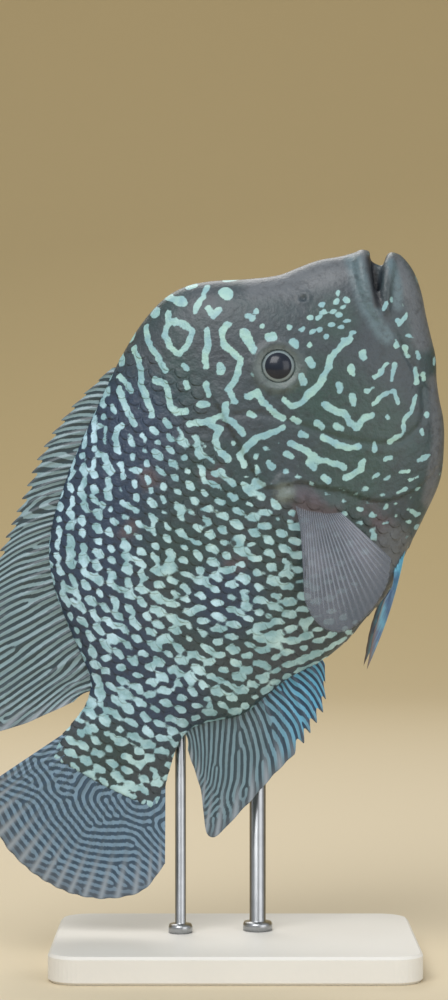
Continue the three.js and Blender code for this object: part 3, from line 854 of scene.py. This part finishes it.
gillCover = {
    "rear": [
        (70, 33), (80, 18), (88, 6), (92, -1.5), (87.5, -8), (84, -14), (82.6, -20), (80, -28), (79, -36),
        (75, -44), (66, -51), (52, -55),
    ],
    "front": [(74, 20), (69, 10), (66.5, -4), (64, -18), (60, -30), (54, -38), (44, -41), (34, -36)],
    "top": 33, "bottom": -56, "fadeTop": (22, 34), "fadeBottom": (-57, -48), "lift": 1.0, "swellOver": 9.0,
    "drop": 0.55, "dropOver": 1.8,
}
gillRear = splineThrough(gillCover["rear"], np.linspace(0, 1, 60))
gillFront = splineThrough(gillCover["front"], np.linspace(0, 1, 40))
# carved forms: how deep or high each is and how wide, in mm
relief = {
    "cheek": (0.55, 1.1), "nostril": (1.3, 0.9), "nostrilAt": (25.0, 17.5), "nostrilRim": (0.35, 0.7, 1.9),
    "lobe": 0.7, "lobeAt": (89.0, -7.5), "lobeSize": (5.4, 4.6), "lobeEdge": (0.75, 1.1), "pad": (0.9, 3.0),
    "padLine": [(90.2, -12.0), (88.2, -19.8), (86.8, -27.0)],
    "chin": (0.5, 0.9), "chinLine": [(21, -18), (25, -23), (29.5, -30.5), (32.6, -39)],
    "lateral": (0.18, 0.55), "lateralAt": (90, 24), "lateralFall": 0.085,
    "lateralFrom": (92, 98), "lateralTo": (138, 144),
    # how far from the middle plane the forms of flank and chin begin
    "flankFrom": (3, 8), "chinFrom": (1, 5),
}


def gillRearAt(h):
    return np.interp(-h, -gillRear[:, 1], gillRear[:, 0])


def ridge(away, high, wide):
    # full height on a line and nothing a little way off it
    return high * np.exp(-((away / wide) ** 2))


def carve(obj):
    local = toFish(meshPoints(obj))
    s, h, w = local.T
    side = np.abs(w)
    # gill cover: swells towards its rear edge and drops there
    away = lineDistance(s, h, gillRear)
    inside = (s < gillRearAt(h)) & (h < gillCover["top"]) & (h > gillCover["bottom"])
    swell = gillCover["lift"] * np.exp(-away / gillCover["swellOver"])
    move = np.where(inside, swell, -gillCover["drop"] * np.exp(-away / gillCover["dropOver"]))
    move *= smoothStep(h, *gillCover["fadeBottom"]) * (1 - smoothStep(h, *gillCover["fadeTop"]))
    # cheek groove
    move -= ridge(lineDistance(s, h, gillFront), *relief["cheek"])
    # nostrils, each with a low rim
    away = np.hypot(s - relief["nostrilAt"][0], h - relief["nostrilAt"][1])
    high, wide, reach = relief["nostrilRim"]
    move += ridge(away - reach, high, wide) - ridge(away, *relief["nostril"])
    # the soft lobe at the upper rear corner of the gill cover
    (lobeS, lobeH), (long, tall) = relief["lobeAt"], relief["lobeSize"]
    away = np.hypot((s - lobeS) / long, (h - lobeH) / tall)
    move += relief["lobe"] * (1 - smoothStep(away, *relief["lobeEdge"]))
    # a low pad where each pectoral fin grows
    move += ridge(lineDistance(s, h, relief["padLine"]), *relief["pad"])
    # lateral line on the front of the flank
    away = h - relief["lateralAt"][1] + relief["lateralFall"] * (s - relief["lateralAt"][0])
    along = smoothStep(s, *relief["lateralFrom"]) * (1 - smoothStep(s, *relief["lateralTo"]))
    move -= ridge(away, *relief["lateral"]) * along
    move *= smoothStep(side, *relief["flankFrom"])
    # a fold under the chin
    fold = ridge(lineDistance(s, h, relief["chinLine"]), *relief["chin"])
    move -= fold * smoothStep(side, *relief["chinFrom"])
    setPoints(obj, toModel(local + (meshNormals(obj) @ axes.T) * move[:, None]))


def makeSkin():
    first, last = sectionTable[[0, -1], 0]
    s = first + (last - first) * np.linspace(0, 1, body["rings"]) ** body["ringCrowding"]
    skin = loftObject("skin", bodyPoint(s[:, None], ringPlaces(body["sides"])[None, :]))
    wedge = prismObject("mouthWedge", mouth["wedge"], mouth["wedgeReach"])
    cutWith(wedge, prismObject("mouthFloor", mouth["floor"], mouth["floorReach"]))
    cutWith(skin, wedge)
    for lip in ("upper", "lower"):
        joinInto(skin, loftObject(lip, tubeRings(bothSides(mouth[lip + "Lip"]), mouth[lip + "Radii"])))
    for side in hands.values():
        joinInto(skin, rimObject("rim", side))
    modify(skin, "REMESH", mode="VOXEL", voxel_size=body["voxel"] * mm)
    for side in hands.values():
        cutWith(skin, socketObject(side))
    modify(skin, "SMOOTH", factor=0.5, iterations=body["smoothing"])
    skin.data.shade_smooth()
    carve(skin)
    paintSkin(skin)
    unwrapSkin(skin)
    skin.data.materials.clear()
    skin.data.materials.append(skinMaterial)
    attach(skin, "root")
    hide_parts("head", "lower_jaw", "gill_cover_left", "gill_cover_right", "trunk", "tail_base")
    return skin


skin = makeSkin()
print("skin made", len(skin.data.polygons), "faces")

# Scales: plates laid out on the unrolled flank by Geometry Nodes, then wrapped over the skin
scale = {
    "front": 3.2, "rear": 4.1, "halfWide": 3.35, "frontLift": -0.32, "rearLift": 0.26, "thick": 0.2,
    "dome": 0.16, "liftPower": 0.8, "frontShare": 0.42, "frontSteps": 4, "frontNarrow": 0.35,
    "rearPower": 2.3, "rearRound": 0.985, "rearLeast": 0.02, "underShare": 0.97, "underDeep": 0.25,
    "sizeSpread": 0.05, "turnSpread": 0.07, "seed": 8,
    "steps": 11, "strips": 10, "patch": 3.4,
    # where the coat starts: on the nape, on the throat and behind the gill cover; and where it ends
    "nape": (33, 66), "throat": (-52, 78), "behindGill": 3.4, "end": 208, "last": 214.0, "overlap": 0.5,
    "taper": 0.16, "taperOver": (150, 200),
}


def plateObject():
    # one plate lying flat: x tailward, y towards the back, z up, with a fine rear edge and a blunt front
    n, k = scale["steps"], scale["strips"]
    few, turnover = scale["frontSteps"], scale["frontShare"]
    share = np.concatenate([np.linspace(0, turnover, few)[:-1], np.linspace(turnover, 1, n - few + 1)])
    x = -scale["front"] + (scale["front"] + scale["rear"]) * share
    t = np.linspace(-1, 1, k)
    front = 1 - scale["frontNarrow"] * np.clip(-x / scale["front"], 0, 1) ** 2
    rear = 1 - scale["rearRound"] * (np.clip(x, 0, None) / scale["rear"]) ** scale["rearPower"]
    rear = np.sqrt(np.clip(rear, scale["rearLeast"], 1))
    half = scale["halfWide"] * np.where(x < 0, front, rear)
    lift = scale["frontLift"] + (scale["rearLift"] - scale["frontLift"]) * share ** scale["liftPower"]
    top = np.stack(np.broadcast_arrays(
        x[:, None], half[:, None] * t, lift[:, None] - scale["dome"] * t**2), -1).reshape(-1, 3)
    index = pointNumbers(n, k)
    rim = [*index[0], *index[1:, -1], *index[-1, -2::-1], *index[-2:0:-1, 0]]
    under = top[rim] * (scale["underShare"], scale["underShare"], 1) - (0, 0, scale["thick"])
    low = n * k + np.arange(len(rim) + 1) % len(rim)
    faces = quadsOf(index.T) + quadsOf(np.stack([low, [*rim, rim[0]]]))
    faces += [(n * k + len(rim), a, b) for a, b in zip(low, low[1:])]
    points = np.vstack([top, under, (0, 0, scale["frontLift"] - scale["underDeep"])])
    obj = meshObject("scalePlate", points * mm, faces)
    pointOutward(obj)
    return obj


def scaleTree():
    tree = bpy.data.node_groups.new("scaleLayout", "GeometryNodeTree")
    face = tree.interface
    face.new_socket("Geometry", in_out="INPUT", socket_type="NodeSocketGeometry")
    sockets = {}
    for label, kind, value in (
        ("Plate", "NodeSocketObject", None), ("Size spread", "NodeSocketFloat", scale["sizeSpread"]),
        ("Turn spread", "NodeSocketFloat", scale["turnSpread"]), ("Seed", "NodeSocketInt", scale["seed"]),
        ("Finish", "NodeSocketMaterial", None),
    ):
        sockets[label] = face.new_socket(label, in_out="INPUT", socket_type=kind)
        if value is not None:
            sockets[label].default_value = value
    face.new_socket("Geometry", in_out="OUTPUT", socket_type="NodeSocketGeometry")
    given = addNode(tree, "NodeGroupInput").outputs

    def spread(label, middle, salt):
        inputs = {
            2: maths(tree, "SUBTRACT", middle, given[label]), 3: maths(tree, "ADD", given[label], middle),
            "Seed": maths(tree, "ADD", given["Seed"], salt),
        }
        return addNode(tree, "FunctionNodeRandomValue", inputs, data_type="FLOAT").outputs[1]

    plate = addNode(tree, "GeometryNodeObjectInfo", {"Object": given["Plate"]})
    taper = addNode(tree, "GeometryNodeInputNamedAttribute", {"Name": "taper"}, data_type="FLOAT")
    size = times(tree, spread("Size spread", 1.0, 0.0), taper.outputs[0])
    sizes = addNode(tree, "ShaderNodeCombineXYZ", {0: size, 1: size, 2: 1.0})
    turns = addNode(tree, "ShaderNodeCombineXYZ", {2: spread("Turn spread", 0.0, 3.0)})
    lay = addNode(tree, "GeometryNodeInstanceOnPoints", {
        "Points": given["Geometry"], "Instance": plate.outputs["Geometry"],
        "Rotation": turns.outputs[0], "Scale": sizes.outputs[0],
    })
    real = addNode(tree, "GeometryNodeRealizeInstances", {"Geometry": lay.outputs["Instances"]})
    paint = addNode(tree, "GeometryNodeSetMaterial", {
        "Geometry": real.outputs["Geometry"], "Material": given["Finish"],
    })
    addNode(tree, "NodeGroupOutput", {"Geometry": paint.outputs["Geometry"]})
    return tree, sockets


def turnFromGirth(s, y):
    # the place round the body at a height y on the unrolled flank, carried on past the back and belly lines
    top, low = girthAt(s, 0 * s), girthAt(s, 0 * s + math.pi)
    over, under = np.maximum(y - top, 0), np.maximum(low - y, 0)
    inner = y - 2 * over + 2 * under
    a, b = np.zeros(len(s)), np.full(len(s), math.pi)
    for halving in range(16):
        mid = (a + b) / 2
        above = girthAt(s, mid) > inner
        a, b = np.where(above, mid, a), np.where(above, b, mid)
    turn = (a + b) / 2
    return np.where(over > 0, -turn, np.where(under > 0, 2 * math.pi - turn, turn))


def scaleSites():
    s, y = (places.ravel() for places in scalePlaces())
    h = bodyPoint(s, turnFromGirth(s, y))[:, 1]
    (napeHigh, napeStart), (throatLow, throatStart) = scale["nape"], scale["throat"]
    start = np.where(h < throatLow, throatStart, gillRearAt(h) + scale["behindGill"])
    start = np.where(h > napeHigh, napeStart, start)
    inside = y < girthAt(s, 0 * s) + scale["overlap"]
    inside &= y > girthAt(s, 0 * s + math.pi) - scale["overlap"]
    keep = inside & (s > start) & (s < scale["end"])
    taper = 1 - scale["taper"] * smoothStep(s, *scale["taperOver"])
    return s[keep], y[keep], taper[keep]


def makeScales():
    plate = plateObject()
    tree, sockets = scaleTree()
    s, y, taper = scaleSites()
    ground = BVHTree.FromObject(skin, bpy.context.evaluated_depsgraph_get())
    for word, side in hands.items():
        obj = meshObject("scales_" + word, np.stack([s, y, 0 * s], -1) * mm, [])
        for label, values in (("taper", taper), ("rootS", s), ("rootY", y)):
            setAttribute(obj, label, values)
        lay = obj.modifiers.new("layout", "NODES")
        lay.node_group = tree
        for label, value in (("Plate", plate), ("Finish", skinMaterial), ("Seed", scale["seed"] + side)):
            lay[sockets[label].identifier] = value
        applyModifiers(obj)
        wrapScales(obj, side, ground)
    bpy.data.objects.remove(plate)


def wrapScales(obj, side, ground):
    s, y, lift = (meshPoints(obj) / mm).T
    s = np.minimum(s, scale["last"])
    turn = turnFromGirth(s, y)
    base = bodyPoint(s, turn)
    out = (bodyPoint(s, turn, 1.0) - base) * (0, 1, 1)
    out /= np.linalg.norm(out, axis=1, keepdims=True)
    base[:, 2] *= side
    out[:, 2] *= side
    placed = np.array([ground.find_nearest(place)[0] for place in toModel(base)])
    setPoints(obj, placed + (out @ axes) * (lift * mm)[:, None])
    pointOutward(obj)
    obj.data.shade_smooth()
    paintSkin(obj)
    # each plate has a patch of the map at its root's place
    rootS, rootY = (readValues(obj.data.attributes[label].data, "value") for label in ("rootS", "rootY"))
    patch = scale["patch"] / (scale["front"] + scale["rear"])
    along = bakeAlong(rootS + (s - rootS) * patch)
    around = turnFromGirth(rootS, rootY) / math.pi - (y - rootY) * patch * bake["turnPerMm"]
    corner = faceCorners(obj)
    writeMap(obj, along[corner], around[corner])
    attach(obj, "root")
    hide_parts("trunk", "tail_base")
    print(obj.name, len(obj.data.loop_triangles), "triangles")


makeScales()

# Fins: rays fan from a base line to an edge line, with their ridges raised from a thin membrane
fins = {
    "dorsal_fin": {
        "base": [
            (77, 64.6), (87, 64.4), (97, 64.2), (107, 63.6), (117, 62.9), (127, 61.6), (136, 59.9),
            (144.5, 57.4), (152.5, 53.2), (160, 47.2), (167, 39.6), (173, 32.0), (179, 24.6), (186, 18.6),
        ],
        "edge": [
            (82, 69.4), (96, 74.2), (109, 76.6), (121, 77.2), (132, 76.0), (143, 75.0), (154, 74.2),
            (166, 73.4), (180, 73.2), (196, 71.6), (212, 67.0), (224, 57.5), (213, 40.6), (194, 24.6),
        ],
        "rays": 28, "perRay": 12, "rows": 88, "thick": 1.0, "spiny": 0.62, "saw": 3.4, "bow": -1.2,
        "sway": (1.6, 4.2, 0.0), "seed": 21, "waves": [(3.1, 7.5, 0.05), (2.5, 3.1, 0.2)],
        "dark": srgb(42, 60, 68), "light": srgb(128, 154, 162), "blueFrom": -1.0, "blueTo": -2.0,
    },
    "anal_fin": {
        "base": [
            (137.5, -46.6), (143.5, -42.0), (149.5, -38.4), (155.5, -35.6), (161.5, -33.4), (167.5, -30.4),
            (173, -25.2), (178.5, -18.6), (184.5, -14.4),
        ],
        "edge": [
            (143, -52.8), (153, -58.0), (162, -57.8), (171, -56.8), (184, -52.8), (200, -48.6),
            (215, -42.6), (201, -31.4), (190.6, -20.8),
        ],
        "rays": 16, "perRay": 12, "rows": 84, "thick": 1.0, "spiny": 0.4, "saw": 3.6, "bow": 1.4,
        "sway": (-1.4, 3.6, 0.0), "seed": 22, "waves": [(3.1, 6.0, 0.0), (2.4, 2.8, 0.3)],
        "dark": srgb(44, 64, 74), "light": srgb(112, 140, 152), "blueFrom": 0.62, "blueTo": 0.18,
    },
    "tail_fin": {
        "base": [
            (203.6, 21.2), (204.1, 16.4), (204.4, 11.4), (204.6, 6.5), (204.7, 1.6), (204.6, -3.4),
            (204.4, -8.4), (204.1, -13.4), (203.6, -18.4),
        ],
        "edge": [
            (231, 36.4), (243, 33.4), (251.5, 24), (256, 12.4), (257.4, 1.6), (256.4, -9.0), (252, -20),
            (243.5, -29.6), (231, -32.4),
        ],
        "rays": 16, "perRay": 12, "rows": 84, "thick": 1.0, "spiny": 0.0, "saw": 0.0, "bow": 0.0,
        "sway": (2.0, 5.0, -0.6), "seed": 23, "waves": [(3.6, 2.3, 0.1), (2.3, 2.5, 0.5)],
        "dark": srgb(46, 70, 90), "light": srgb(114, 142, 164), "blueFrom": -1.0, "blueTo": -2.0,
    },
}
finBuild = {
    "membrane": 0.2, "rib": 0.62, "ribTip": 0.2, "spinyEdge": 0.02, "softSaw": 0.35, "fork": (0.35, 0.6),
    "joint": 0.22, "jointPitch": 2.6, "jointEdge": (0.55, 0.95), "softTip": (0.55, 0.95),
    "softFrom": (-0.05, 0.1), "sawPower": 0.8,
    # the pattern's own grid, and where its streaks turn into a maze
    "pitch": 0.35, "least": 48, "rounds": 36, "bias": -0.02, "mazeRear": 0.9, "mazeOver": (0.3, 1.1),
}


def finPattern(fin, wide, tall):
    # streaks along the rays near the root, a maze of short lines further out and towards the rear
    shape = tuple(max(finBuild["least"], int(size / finBuild["pitch"])) for size in (wide, tall))
    u = np.linspace(0, 1, shape[0])[:, None]
    v = np.linspace(0, 1, shape[1])[None, :]
    rearward = finBuild["mazeRear"] * (u - fin["spiny"]) * (fin["spiny"] > 0)
    maze = smoothStep(v + rearward, *finBuild["mazeOver"])
    pitch, bias, rounds = (finBuild[label] for label in ("pitch", "bias", "rounds"))
    return growPattern(shape, pitch, fin["waves"], [1 - maze, maze], bias, fin["seed"], rounds)


def finGrid(fin):
    u = np.linspace(0, 1, fin["rays"] * fin["perRay"] + 1)
    root, tip = (splineThrough([(*p, 0)[:3] for p in fin[line]], u) for line in ("base", "edge"))
    reach = np.linalg.norm(tip - root, axis=1)

    def crestOf(perRay):
        return 0.5 - 0.5 * np.cos(2 * math.pi * (u * fin["rays"] * perRay % 1.0))

    spiny = 1 - smoothStep(u - fin["spiny"], -finBuild["spinyEdge"], finBuild["spinyEdge"])
    dip = 1 - crestOf(1)
    cut = spiny * fin["saw"] * dip ** finBuild["sawPower"] + (1 - spiny) * finBuild["softSaw"] * dip
    vv = np.linspace(0, 1, fin["rows"])[None, :] * (1 - cut / reach)[:, None]
    p = root[:, None] + (tip - root)[:, None] * vv[..., None]
    across = np.stack([tip[:, 1] - root[:, 1], root[:, 0] - tip[:, 0], 0 * reach], -1) / reach[:, None]
    p += across[:, None] * (fin["bow"] * np.sin(math.pi * vv))[..., None]
    if callable(fin["sway"]):
        p[..., 2] += fin["sway"](u[:, None], vv)
    else:
        far, waves, start = fin["sway"]
        p[..., 2] += far * vv**2 * np.sin(waves * u[:, None] + start)
    # each soft ray forks on its way to the edge, and has fine joints
    soft = (1 - spiny)[:, None]
    forked = soft * smoothStep(vv, *finBuild["fork"])
    crest = crestOf(1)[:, None] ** 3
    rib = crest * (1 - forked) + crestOf(2)[:, None] ** 2 * forked
    taper = finBuild["rib"] + (finBuild["ribTip"] - finBuild["rib"]) * vv
    wave = np.sin(2 * math.pi * vv * reach[:, None] / finBuild["jointPitch"])
    joints = 1 - finBuild["joint"] * soft * smoothStep(wave, *finBuild["jointEdge"])
    half = finBuild["membrane"] + rib * taper * joints * fin["thick"]
    return u[:, None] + 0 * vv, vv, p, half, reach, crest + 0 * vv


def makeFin(name, fin, material, replaced):
    u, v, p, half, reach, crest = finGrid(fin)
    near, far = (p + side * half[..., None] * (0, 0, 1) for side in (-1, 1))
    index = pointNumbers(*v.shape)
    rim = np.array([*index[:, 0], *index[-1, 1:], *index[-2::-1, -1], *index[0, -2::-1]])
    faces = quadsOf(index.T) + quadsOf(index + v.size) + quadsOf(np.stack([rim, rim + v.size]))
    obj = meshObject(name, toModel(np.concatenate([near, far]).reshape(-1, 3)), faces)
    pointOutward(obj)
    wide = 0.5 * sum(np.linalg.norm(np.diff(p[:, row], axis=0), axis=1).sum() for row in (0, -1))
    pattern = finPattern(fin, wide, reach.max())
    steps = np.array(pattern.shape) - 1.001
    spots = gridValue(pattern, u * steps[0], v * reach[:, None] / reach.max() * steps[1])
    soft = smoothStep(u - fin["spiny"], *finBuild["softFrom"]) * smoothStep(v, *finBuild["softTip"])
    for label, grid in (("spots", spots), ("crest", crest), ("along", v), ("softTip", soft), ("rearward", u)):
        setAttribute(obj, label, np.tile(grid.ravel(), 2))
    # right face in the lower half of the map, left face in the upper half
    corner = faceCorners(obj)
    place = corner % v.size
    writeMap(obj, u.ravel()[place], v.ravel()[place], corner >= v.size)
    obj.data.materials.append(material)
    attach(obj, "root")
    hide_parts(replaced)


finLook = {
    "lightBlue": srgb(92, 164, 198), "darkBlue": srgb(24, 56, 84), "edge": srgb(84, 90, 98),
    "ray": srgb(74, 94, 104), "tipRay": srgb(140, 150, 160), "rayShow": 0.22, "roughness": 0.4,
}


def makeFinMaterial(name, fin):
    material, tree = newMaterial(name)
    fine, crest = noiseValue(tree, 700), attributeValue(tree, "crest")
    place = wobbled(tree, attributeValue(tree, "rearward"), noiseValue(tree, 40), 0.5)
    blue = ramp(tree, place, fin["blueFrom"], fin["blueTo"])
    dark = mixColour(tree, blue, fin["dark"], finLook["darkBlue"])
    light = mixColour(tree, blue, fin["light"], finLook["lightBlue"])
    colour = layered(tree, dark, [
        (ramp(tree, wobbled(tree, attributeValue(tree, "spots"), fine, 0.7), -0.45, 0.5), light),
        (times(tree, crest, finLook["rayShow"]), finLook["ray"]),
        (ramp(tree, attributeValue(tree, "along"), 0.8, 1.1), finLook["edge"]),
        (times(tree, crest, attributeValue(tree, "softTip")), finLook["tipRay"]),
    ])
    grain = bump(tree, fine, 0.25, 0.0004)
    setSurface(tree, colour, finLook["roughness"], 0.2, Coat_Roughness=0.3, Normal=grain)
    return material


for finName, fin in fins.items():
    makeFin(finName + "_rays", fin, makeFinMaterial(finName + "Finish", fin), finName)
print("middle fins made")

# Paired fins
pectoral = {
    "rootLine": [
        (90.2, -12.0), (89.4, -14.8), (88.8, -17.4), (88.2, -19.8), (87.6, -22.2), (87.2, -24.6),
        (86.8, -27.0),
    ],
    "edge": [
        (108.5, -26.6, 24.6), (121, -32.0, 25.8), (127.2, -41.6, 26.0), (125, -50.2, 25.6),
        (115.6, -54.8, 24.8), (104, -56.2, 23.8), (94.2, -53.4, 22.8),
    ],
    "sink": -1.5, "cup": 1.6, "cupFront": 0.6,
    "rays": 25, "perRay": 8, "rows": 48, "thick": 0.42, "bow": 0.0, "seed": 31,
}
pelvic = {
    "rootLine": [(85.6, -56.8, 3.4), (91, -57.0, 4.4), (96.5, -56.6, 5.2)],
    "edge": [(134, -64.6, 10.6), (121, -60.6, 11.2), (108.5, -58.4, 10.4)],
    "rays": 6, "perRay": 10, "rows": 48, "thick": 0.9, "bow": 1.6, "seed": 32, "sway": (0.0, 0.0, 0.0),
}
# what both pairs share: no spines, and one kind of pattern
pairedBuild = {"spiny": 0.0, "saw": 0.0, "waves": [(3.6, 8, 0), (3, 4, 0)]}
pairedLook = {
    "film": srgb(132, 136, 150), "filmDark": srgb(96, 104, 116), "ray": srgb(172, 180, 194),
    "streak": srgb(128, 196, 220), "streakDark": srgb(98, 116, 156), "tip": srgb(118, 104, 100),
    "seeThrough": 0.55,
}


def makePectoralMaterial():
    material, tree = newMaterial("pectoralFilm")
    film = clouded(tree, 60, 3.0, (0.3, 0.7), pairedLook["film"], pairedLook["filmDark"])
    colour = layered(tree, film, [
        (times(tree, attributeValue(tree, "crest"), 0.7), pairedLook["ray"]),
        (ramp(tree, attributeValue(tree, "along"), 0.5, 1.1), pairedLook["filmDark"]),
    ])
    setSurface(tree, colour, 0.35, 0.2, Alpha=pairedLook["seeThrough"])
    return material


def makePelvicMaterial():
    material, tree = newMaterial("pelvicStreak")
    band = clouded(tree, 120, 2.0, (0.35, 0.65), pairedLook["streak"], pairedLook["streakDark"])
    colour = layered(tree, band, [
        (times(tree, attributeValue(tree, "crest"), 0.5), pairedLook["streak"]),
        (ramp(tree, attributeValue(tree, "along"), 0.8, 1.0), pairedLook["tip"]),
    ])
    setSurface(tree, colour, 0.4)
    return material


def pectoralCup(side):
    # the fan bends outward between its root and its edge, most at the rear
    front = pectoral["cupFront"]
    return lambda u, v: side * pectoral["cup"] * np.sin(math.pi * v) * (front + (1 - front) * u)


def makePairedFins():
    film, streak = makePectoralMaterial(), makePelvicMaterial()
    for word, side in hands.items():
        fan = {**pairedBuild, **pectoral}
        fan["base"] = [(s, h, side * (flankWidth(s, h) + fan["sink"])) for s, h in fan["rootLine"]]
        fan["edge"] = [(s, h, side * w) for s, h, w in fan["edge"]]
        fan["sway"] = pectoralCup(side)
        makeFin("pectoral_rays_" + word, fan, film, "pectoral_fin_" + word)
        blade = {**pairedBuild, **pelvic}
        blade["base"] = [(s, h, side * w) for s, h, w in blade["rootLine"]]
        blade["edge"] = [(s, h, side * w) for s, h, w in blade["edge"]]
        makeFin("pelvic_rays_" + word, blade, streak, "pelvic_fin_" + word)


makePairedFins()
print("paired fins made")

# Eyes: a dome with a dark lens, a pale ring and a mottled iris
eyeLook = {
    "pupil": 4.75, "ring": 5.25, "lens": 0.5, "groove": 0.22, "grooveAt": 5.2, "grooveWide": 0.8,
    "sides": 72, "rings": 56, "crowding": 1.25, "pupilEdge": (-0.12, 0.2), "ringFade": 0.5,
    "irisRim": (5.9, 7.2), "lensColour": srgb(14, 24, 40), "ringColour": srgb(128, 142, 146),
    "irisColour": srgb(92, 106, 108), "irisDark": srgb(52, 62, 64),
}


def makeEyeMaterial():
    material, tree = newMaterial("eyeGloss")
    away, ring = attributeValue(tree, "away"), eyeLook["ring"]
    pupilIn, pupilOut = (eyeLook["pupil"] + edge for edge in eyeLook["pupilEdge"])
    iris = clouded(tree, 420, 3.0, (0.3, 0.7), eyeLook["irisColour"], eyeLook["irisDark"])
    iris = mixColour(tree, ramp(tree, away, *eyeLook["irisRim"]), iris, eyeLook["irisDark"])
    colour = mixColour(tree, ramp(tree, away, ring, ring + eyeLook["ringFade"]), eyeLook["ringColour"], iris)
    colour = mixColour(tree, ramp(tree, away, pupilIn, pupilOut), eyeLook["lensColour"], colour)
    setSurface(tree, colour, 0.3, 0.45, Coat_Roughness=0.12, Specular_IOR_Level=0.3)
    return material


def makeEye(word, side, material):
    profile = []
    for k in range(1, eyeLook["rings"]):
        polar = math.pi * (k / eyeLook["rings"]) ** eyeLook["crowding"]
        out, flat = eye["depth"] * math.cos(polar), eye["radius"] * math.sin(polar)
        if out > 0:
            out += eyeLook["lens"] * math.exp(-((flat / eyeLook["pupil"]) ** 4))
            out -= float(ridge(flat - eyeLook["grooveAt"], eyeLook["groove"], eyeLook["grooveWide"]))
        profile.append((out, flat))
    obj = loftObject("eyeball_" + word, eyeRings(side, profile, eyeLook["sides"]))
    centre, outward, first, second = eyeFrame(side)
    local = toFish(meshPoints(obj)) - centre - outward * (eye["bulge"] - eye["depth"])
    away = np.hypot(local @ first, local @ second)
    setAttribute(obj, "away", np.where(local @ outward > 0, away, eye["radius"]))
    obj.data.materials.append(material)
    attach(obj, "root")
    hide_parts("eye_" + word)


eyeMaterial = makeEyeMaterial()
for word, side in hands.items():
    makeEye(word, side, eyeMaterial)
print("eyes made")

# Stand: the plate keeps its own shape, the rods get a foot collar and a rounded head
stand = {
    "plateTop": 10.0, "collarHigh": 3.2, "collarWider": 2.4, "collarSide": 0.7, "chamfer": 0.4,
    "ease": 0.3, "head": 0.6, "headFlat": 0.8, "sides": 48,
}


def makeSteel():
    material, tree = newMaterial("brushedSteel")
    streak = noiseValue(tree, 260)
    colour = mixColour(tree, ramp(tree, streak, 0.2, 0.8), srgb(164, 166, 168), srgb(176, 178, 180))
    setSurface(tree, colour, 0.3, Metallic=1.0, Normal=bump(tree, streak, 0.03, 0.0002))
    return material


def makePlateMaterial():
    material, tree = newMaterial("satinPlate")
    colour = clouded(tree, 12, 2.0, (0.3, 0.7), srgb(222, 219, 212), srgb(228, 226, 220))
    setSurface(tree, colour, 0.5, Normal=bump(tree, noiseValue(tree, 500, 4.0), 0.12, 0.0003))
    return material


def makeRod(name, node, material):
    low, high = np.array(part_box(node)) / mm
    x, y = (low[:2] + high[:2]) / 2
    radius, tall = (high[0] - low[0]) / 2, high[2] - stand["plateTop"]
    wide, collar = radius + stand["collarWider"], stand["collarHigh"]
    profile = [
        (wide, 0), (wide, collar * stand["collarSide"]), (wide - stand["chamfer"], collar),
        (radius + stand["ease"], collar), (radius, collar + stand["chamfer"]),
        (radius, tall - stand["head"]), (radius * stand["headFlat"], tall),
    ]
    turn = ringPlaces(stand["sides"])
    rings = [
        np.stack([x + r * np.cos(turn), y + r * np.sin(turn), stand["plateTop"] + z + 0 * turn], -1) * mm
        for r, z in profile
    ]
    obj = loftObject(name, [toFish(ring) for ring in rings])
    obj.data.materials.append(material)
    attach(obj, "root")
    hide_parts(node)


steel = makeSteel()
makeRod("stand_belly_post", "stand_belly_rod", steel)
makeRod("stand_tail_post", "stand_tail_rod", steel)
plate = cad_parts["stand_base"]
plate.data.materials.clear()
plate.data.materials.append(makePlateMaterial())
print("stand made")

# Floor, air and lights
studio = {
    "floor": srgb(214, 200, 172), "wall": srgb(190, 170, 126), "wallFrom": (0.3, 1.9),
    "air": (0.62, 0.64, 0.66, 1), "airStrength": 0.75, "aim": (0, 0, 0.15),
    "near": -14.0, "bend": 1.2, "radius": 0.9, "top": 5.0, "half": 12.0,
    "lights": [
        ("keyLight", (-0.6, -1.2, 1.6), 1.3, 24), ("fillLight", (1.1, -1.1, 0.6), 1.2, 7),
        ("backLight", (-0.3, 1.0, 1.3), 1.0, 9),
    ],
}


def makeBackdrop():
    # one sheet: flat under the model, then swept up behind it
    bend, radius = studio["bend"], studio["radius"]
    curve = np.linspace(0.1, math.pi / 2, 14)
    profile = [
        (studio["near"], 0.0), (bend, 0.0),
        *zip(bend + radius * np.sin(curve), radius - radius * np.cos(curve)),
        (bend + radius, studio["top"]),
    ]
    points = [(x, y, z) for y, z in profile for x in (-studio["half"], studio["half"])]
    sheet = meshObject("backdrop", points, quadsOf(pointNumbers(len(profile), 2)))
    material, tree = newMaterial("paperSheet")
    depth = addNode(tree, "ShaderNodeSeparateXYZ", {"Vector": objectPlace(tree)}).outputs["Y"]
    colour = mixColour(tree, ramp(tree, depth, *studio["wallFrom"]), studio["floor"], studio["wall"])
    setSurface(tree, colour, 0.75)
    sheet.data.materials.append(material)


def makeStudio():
    makeBackdrop()
    world = bpy.data.worlds.new("studioAir")
    world.use_nodes = True
    air = world.node_tree.nodes["Background"]
    setInputs(world.node_tree, air, {"Color": studio["air"], "Strength": studio["airStrength"]})
    scene.world = world
    for name, place, size, power in studio["lights"]:
        data = bpy.data.lights.new(name, "AREA")
        data.size = size
        data.energy = power
        light = bpy.data.objects.new(name, data)
        light.location = place
        light.rotation_euler = (Vector(studio["aim"]) - Vector(place)).to_track_quat("-Z", "Y").to_euler()
        scene.collection.objects.link(light)
    scene.view_settings.view_transform = "Standard"


makeStudio()
print("studio made")
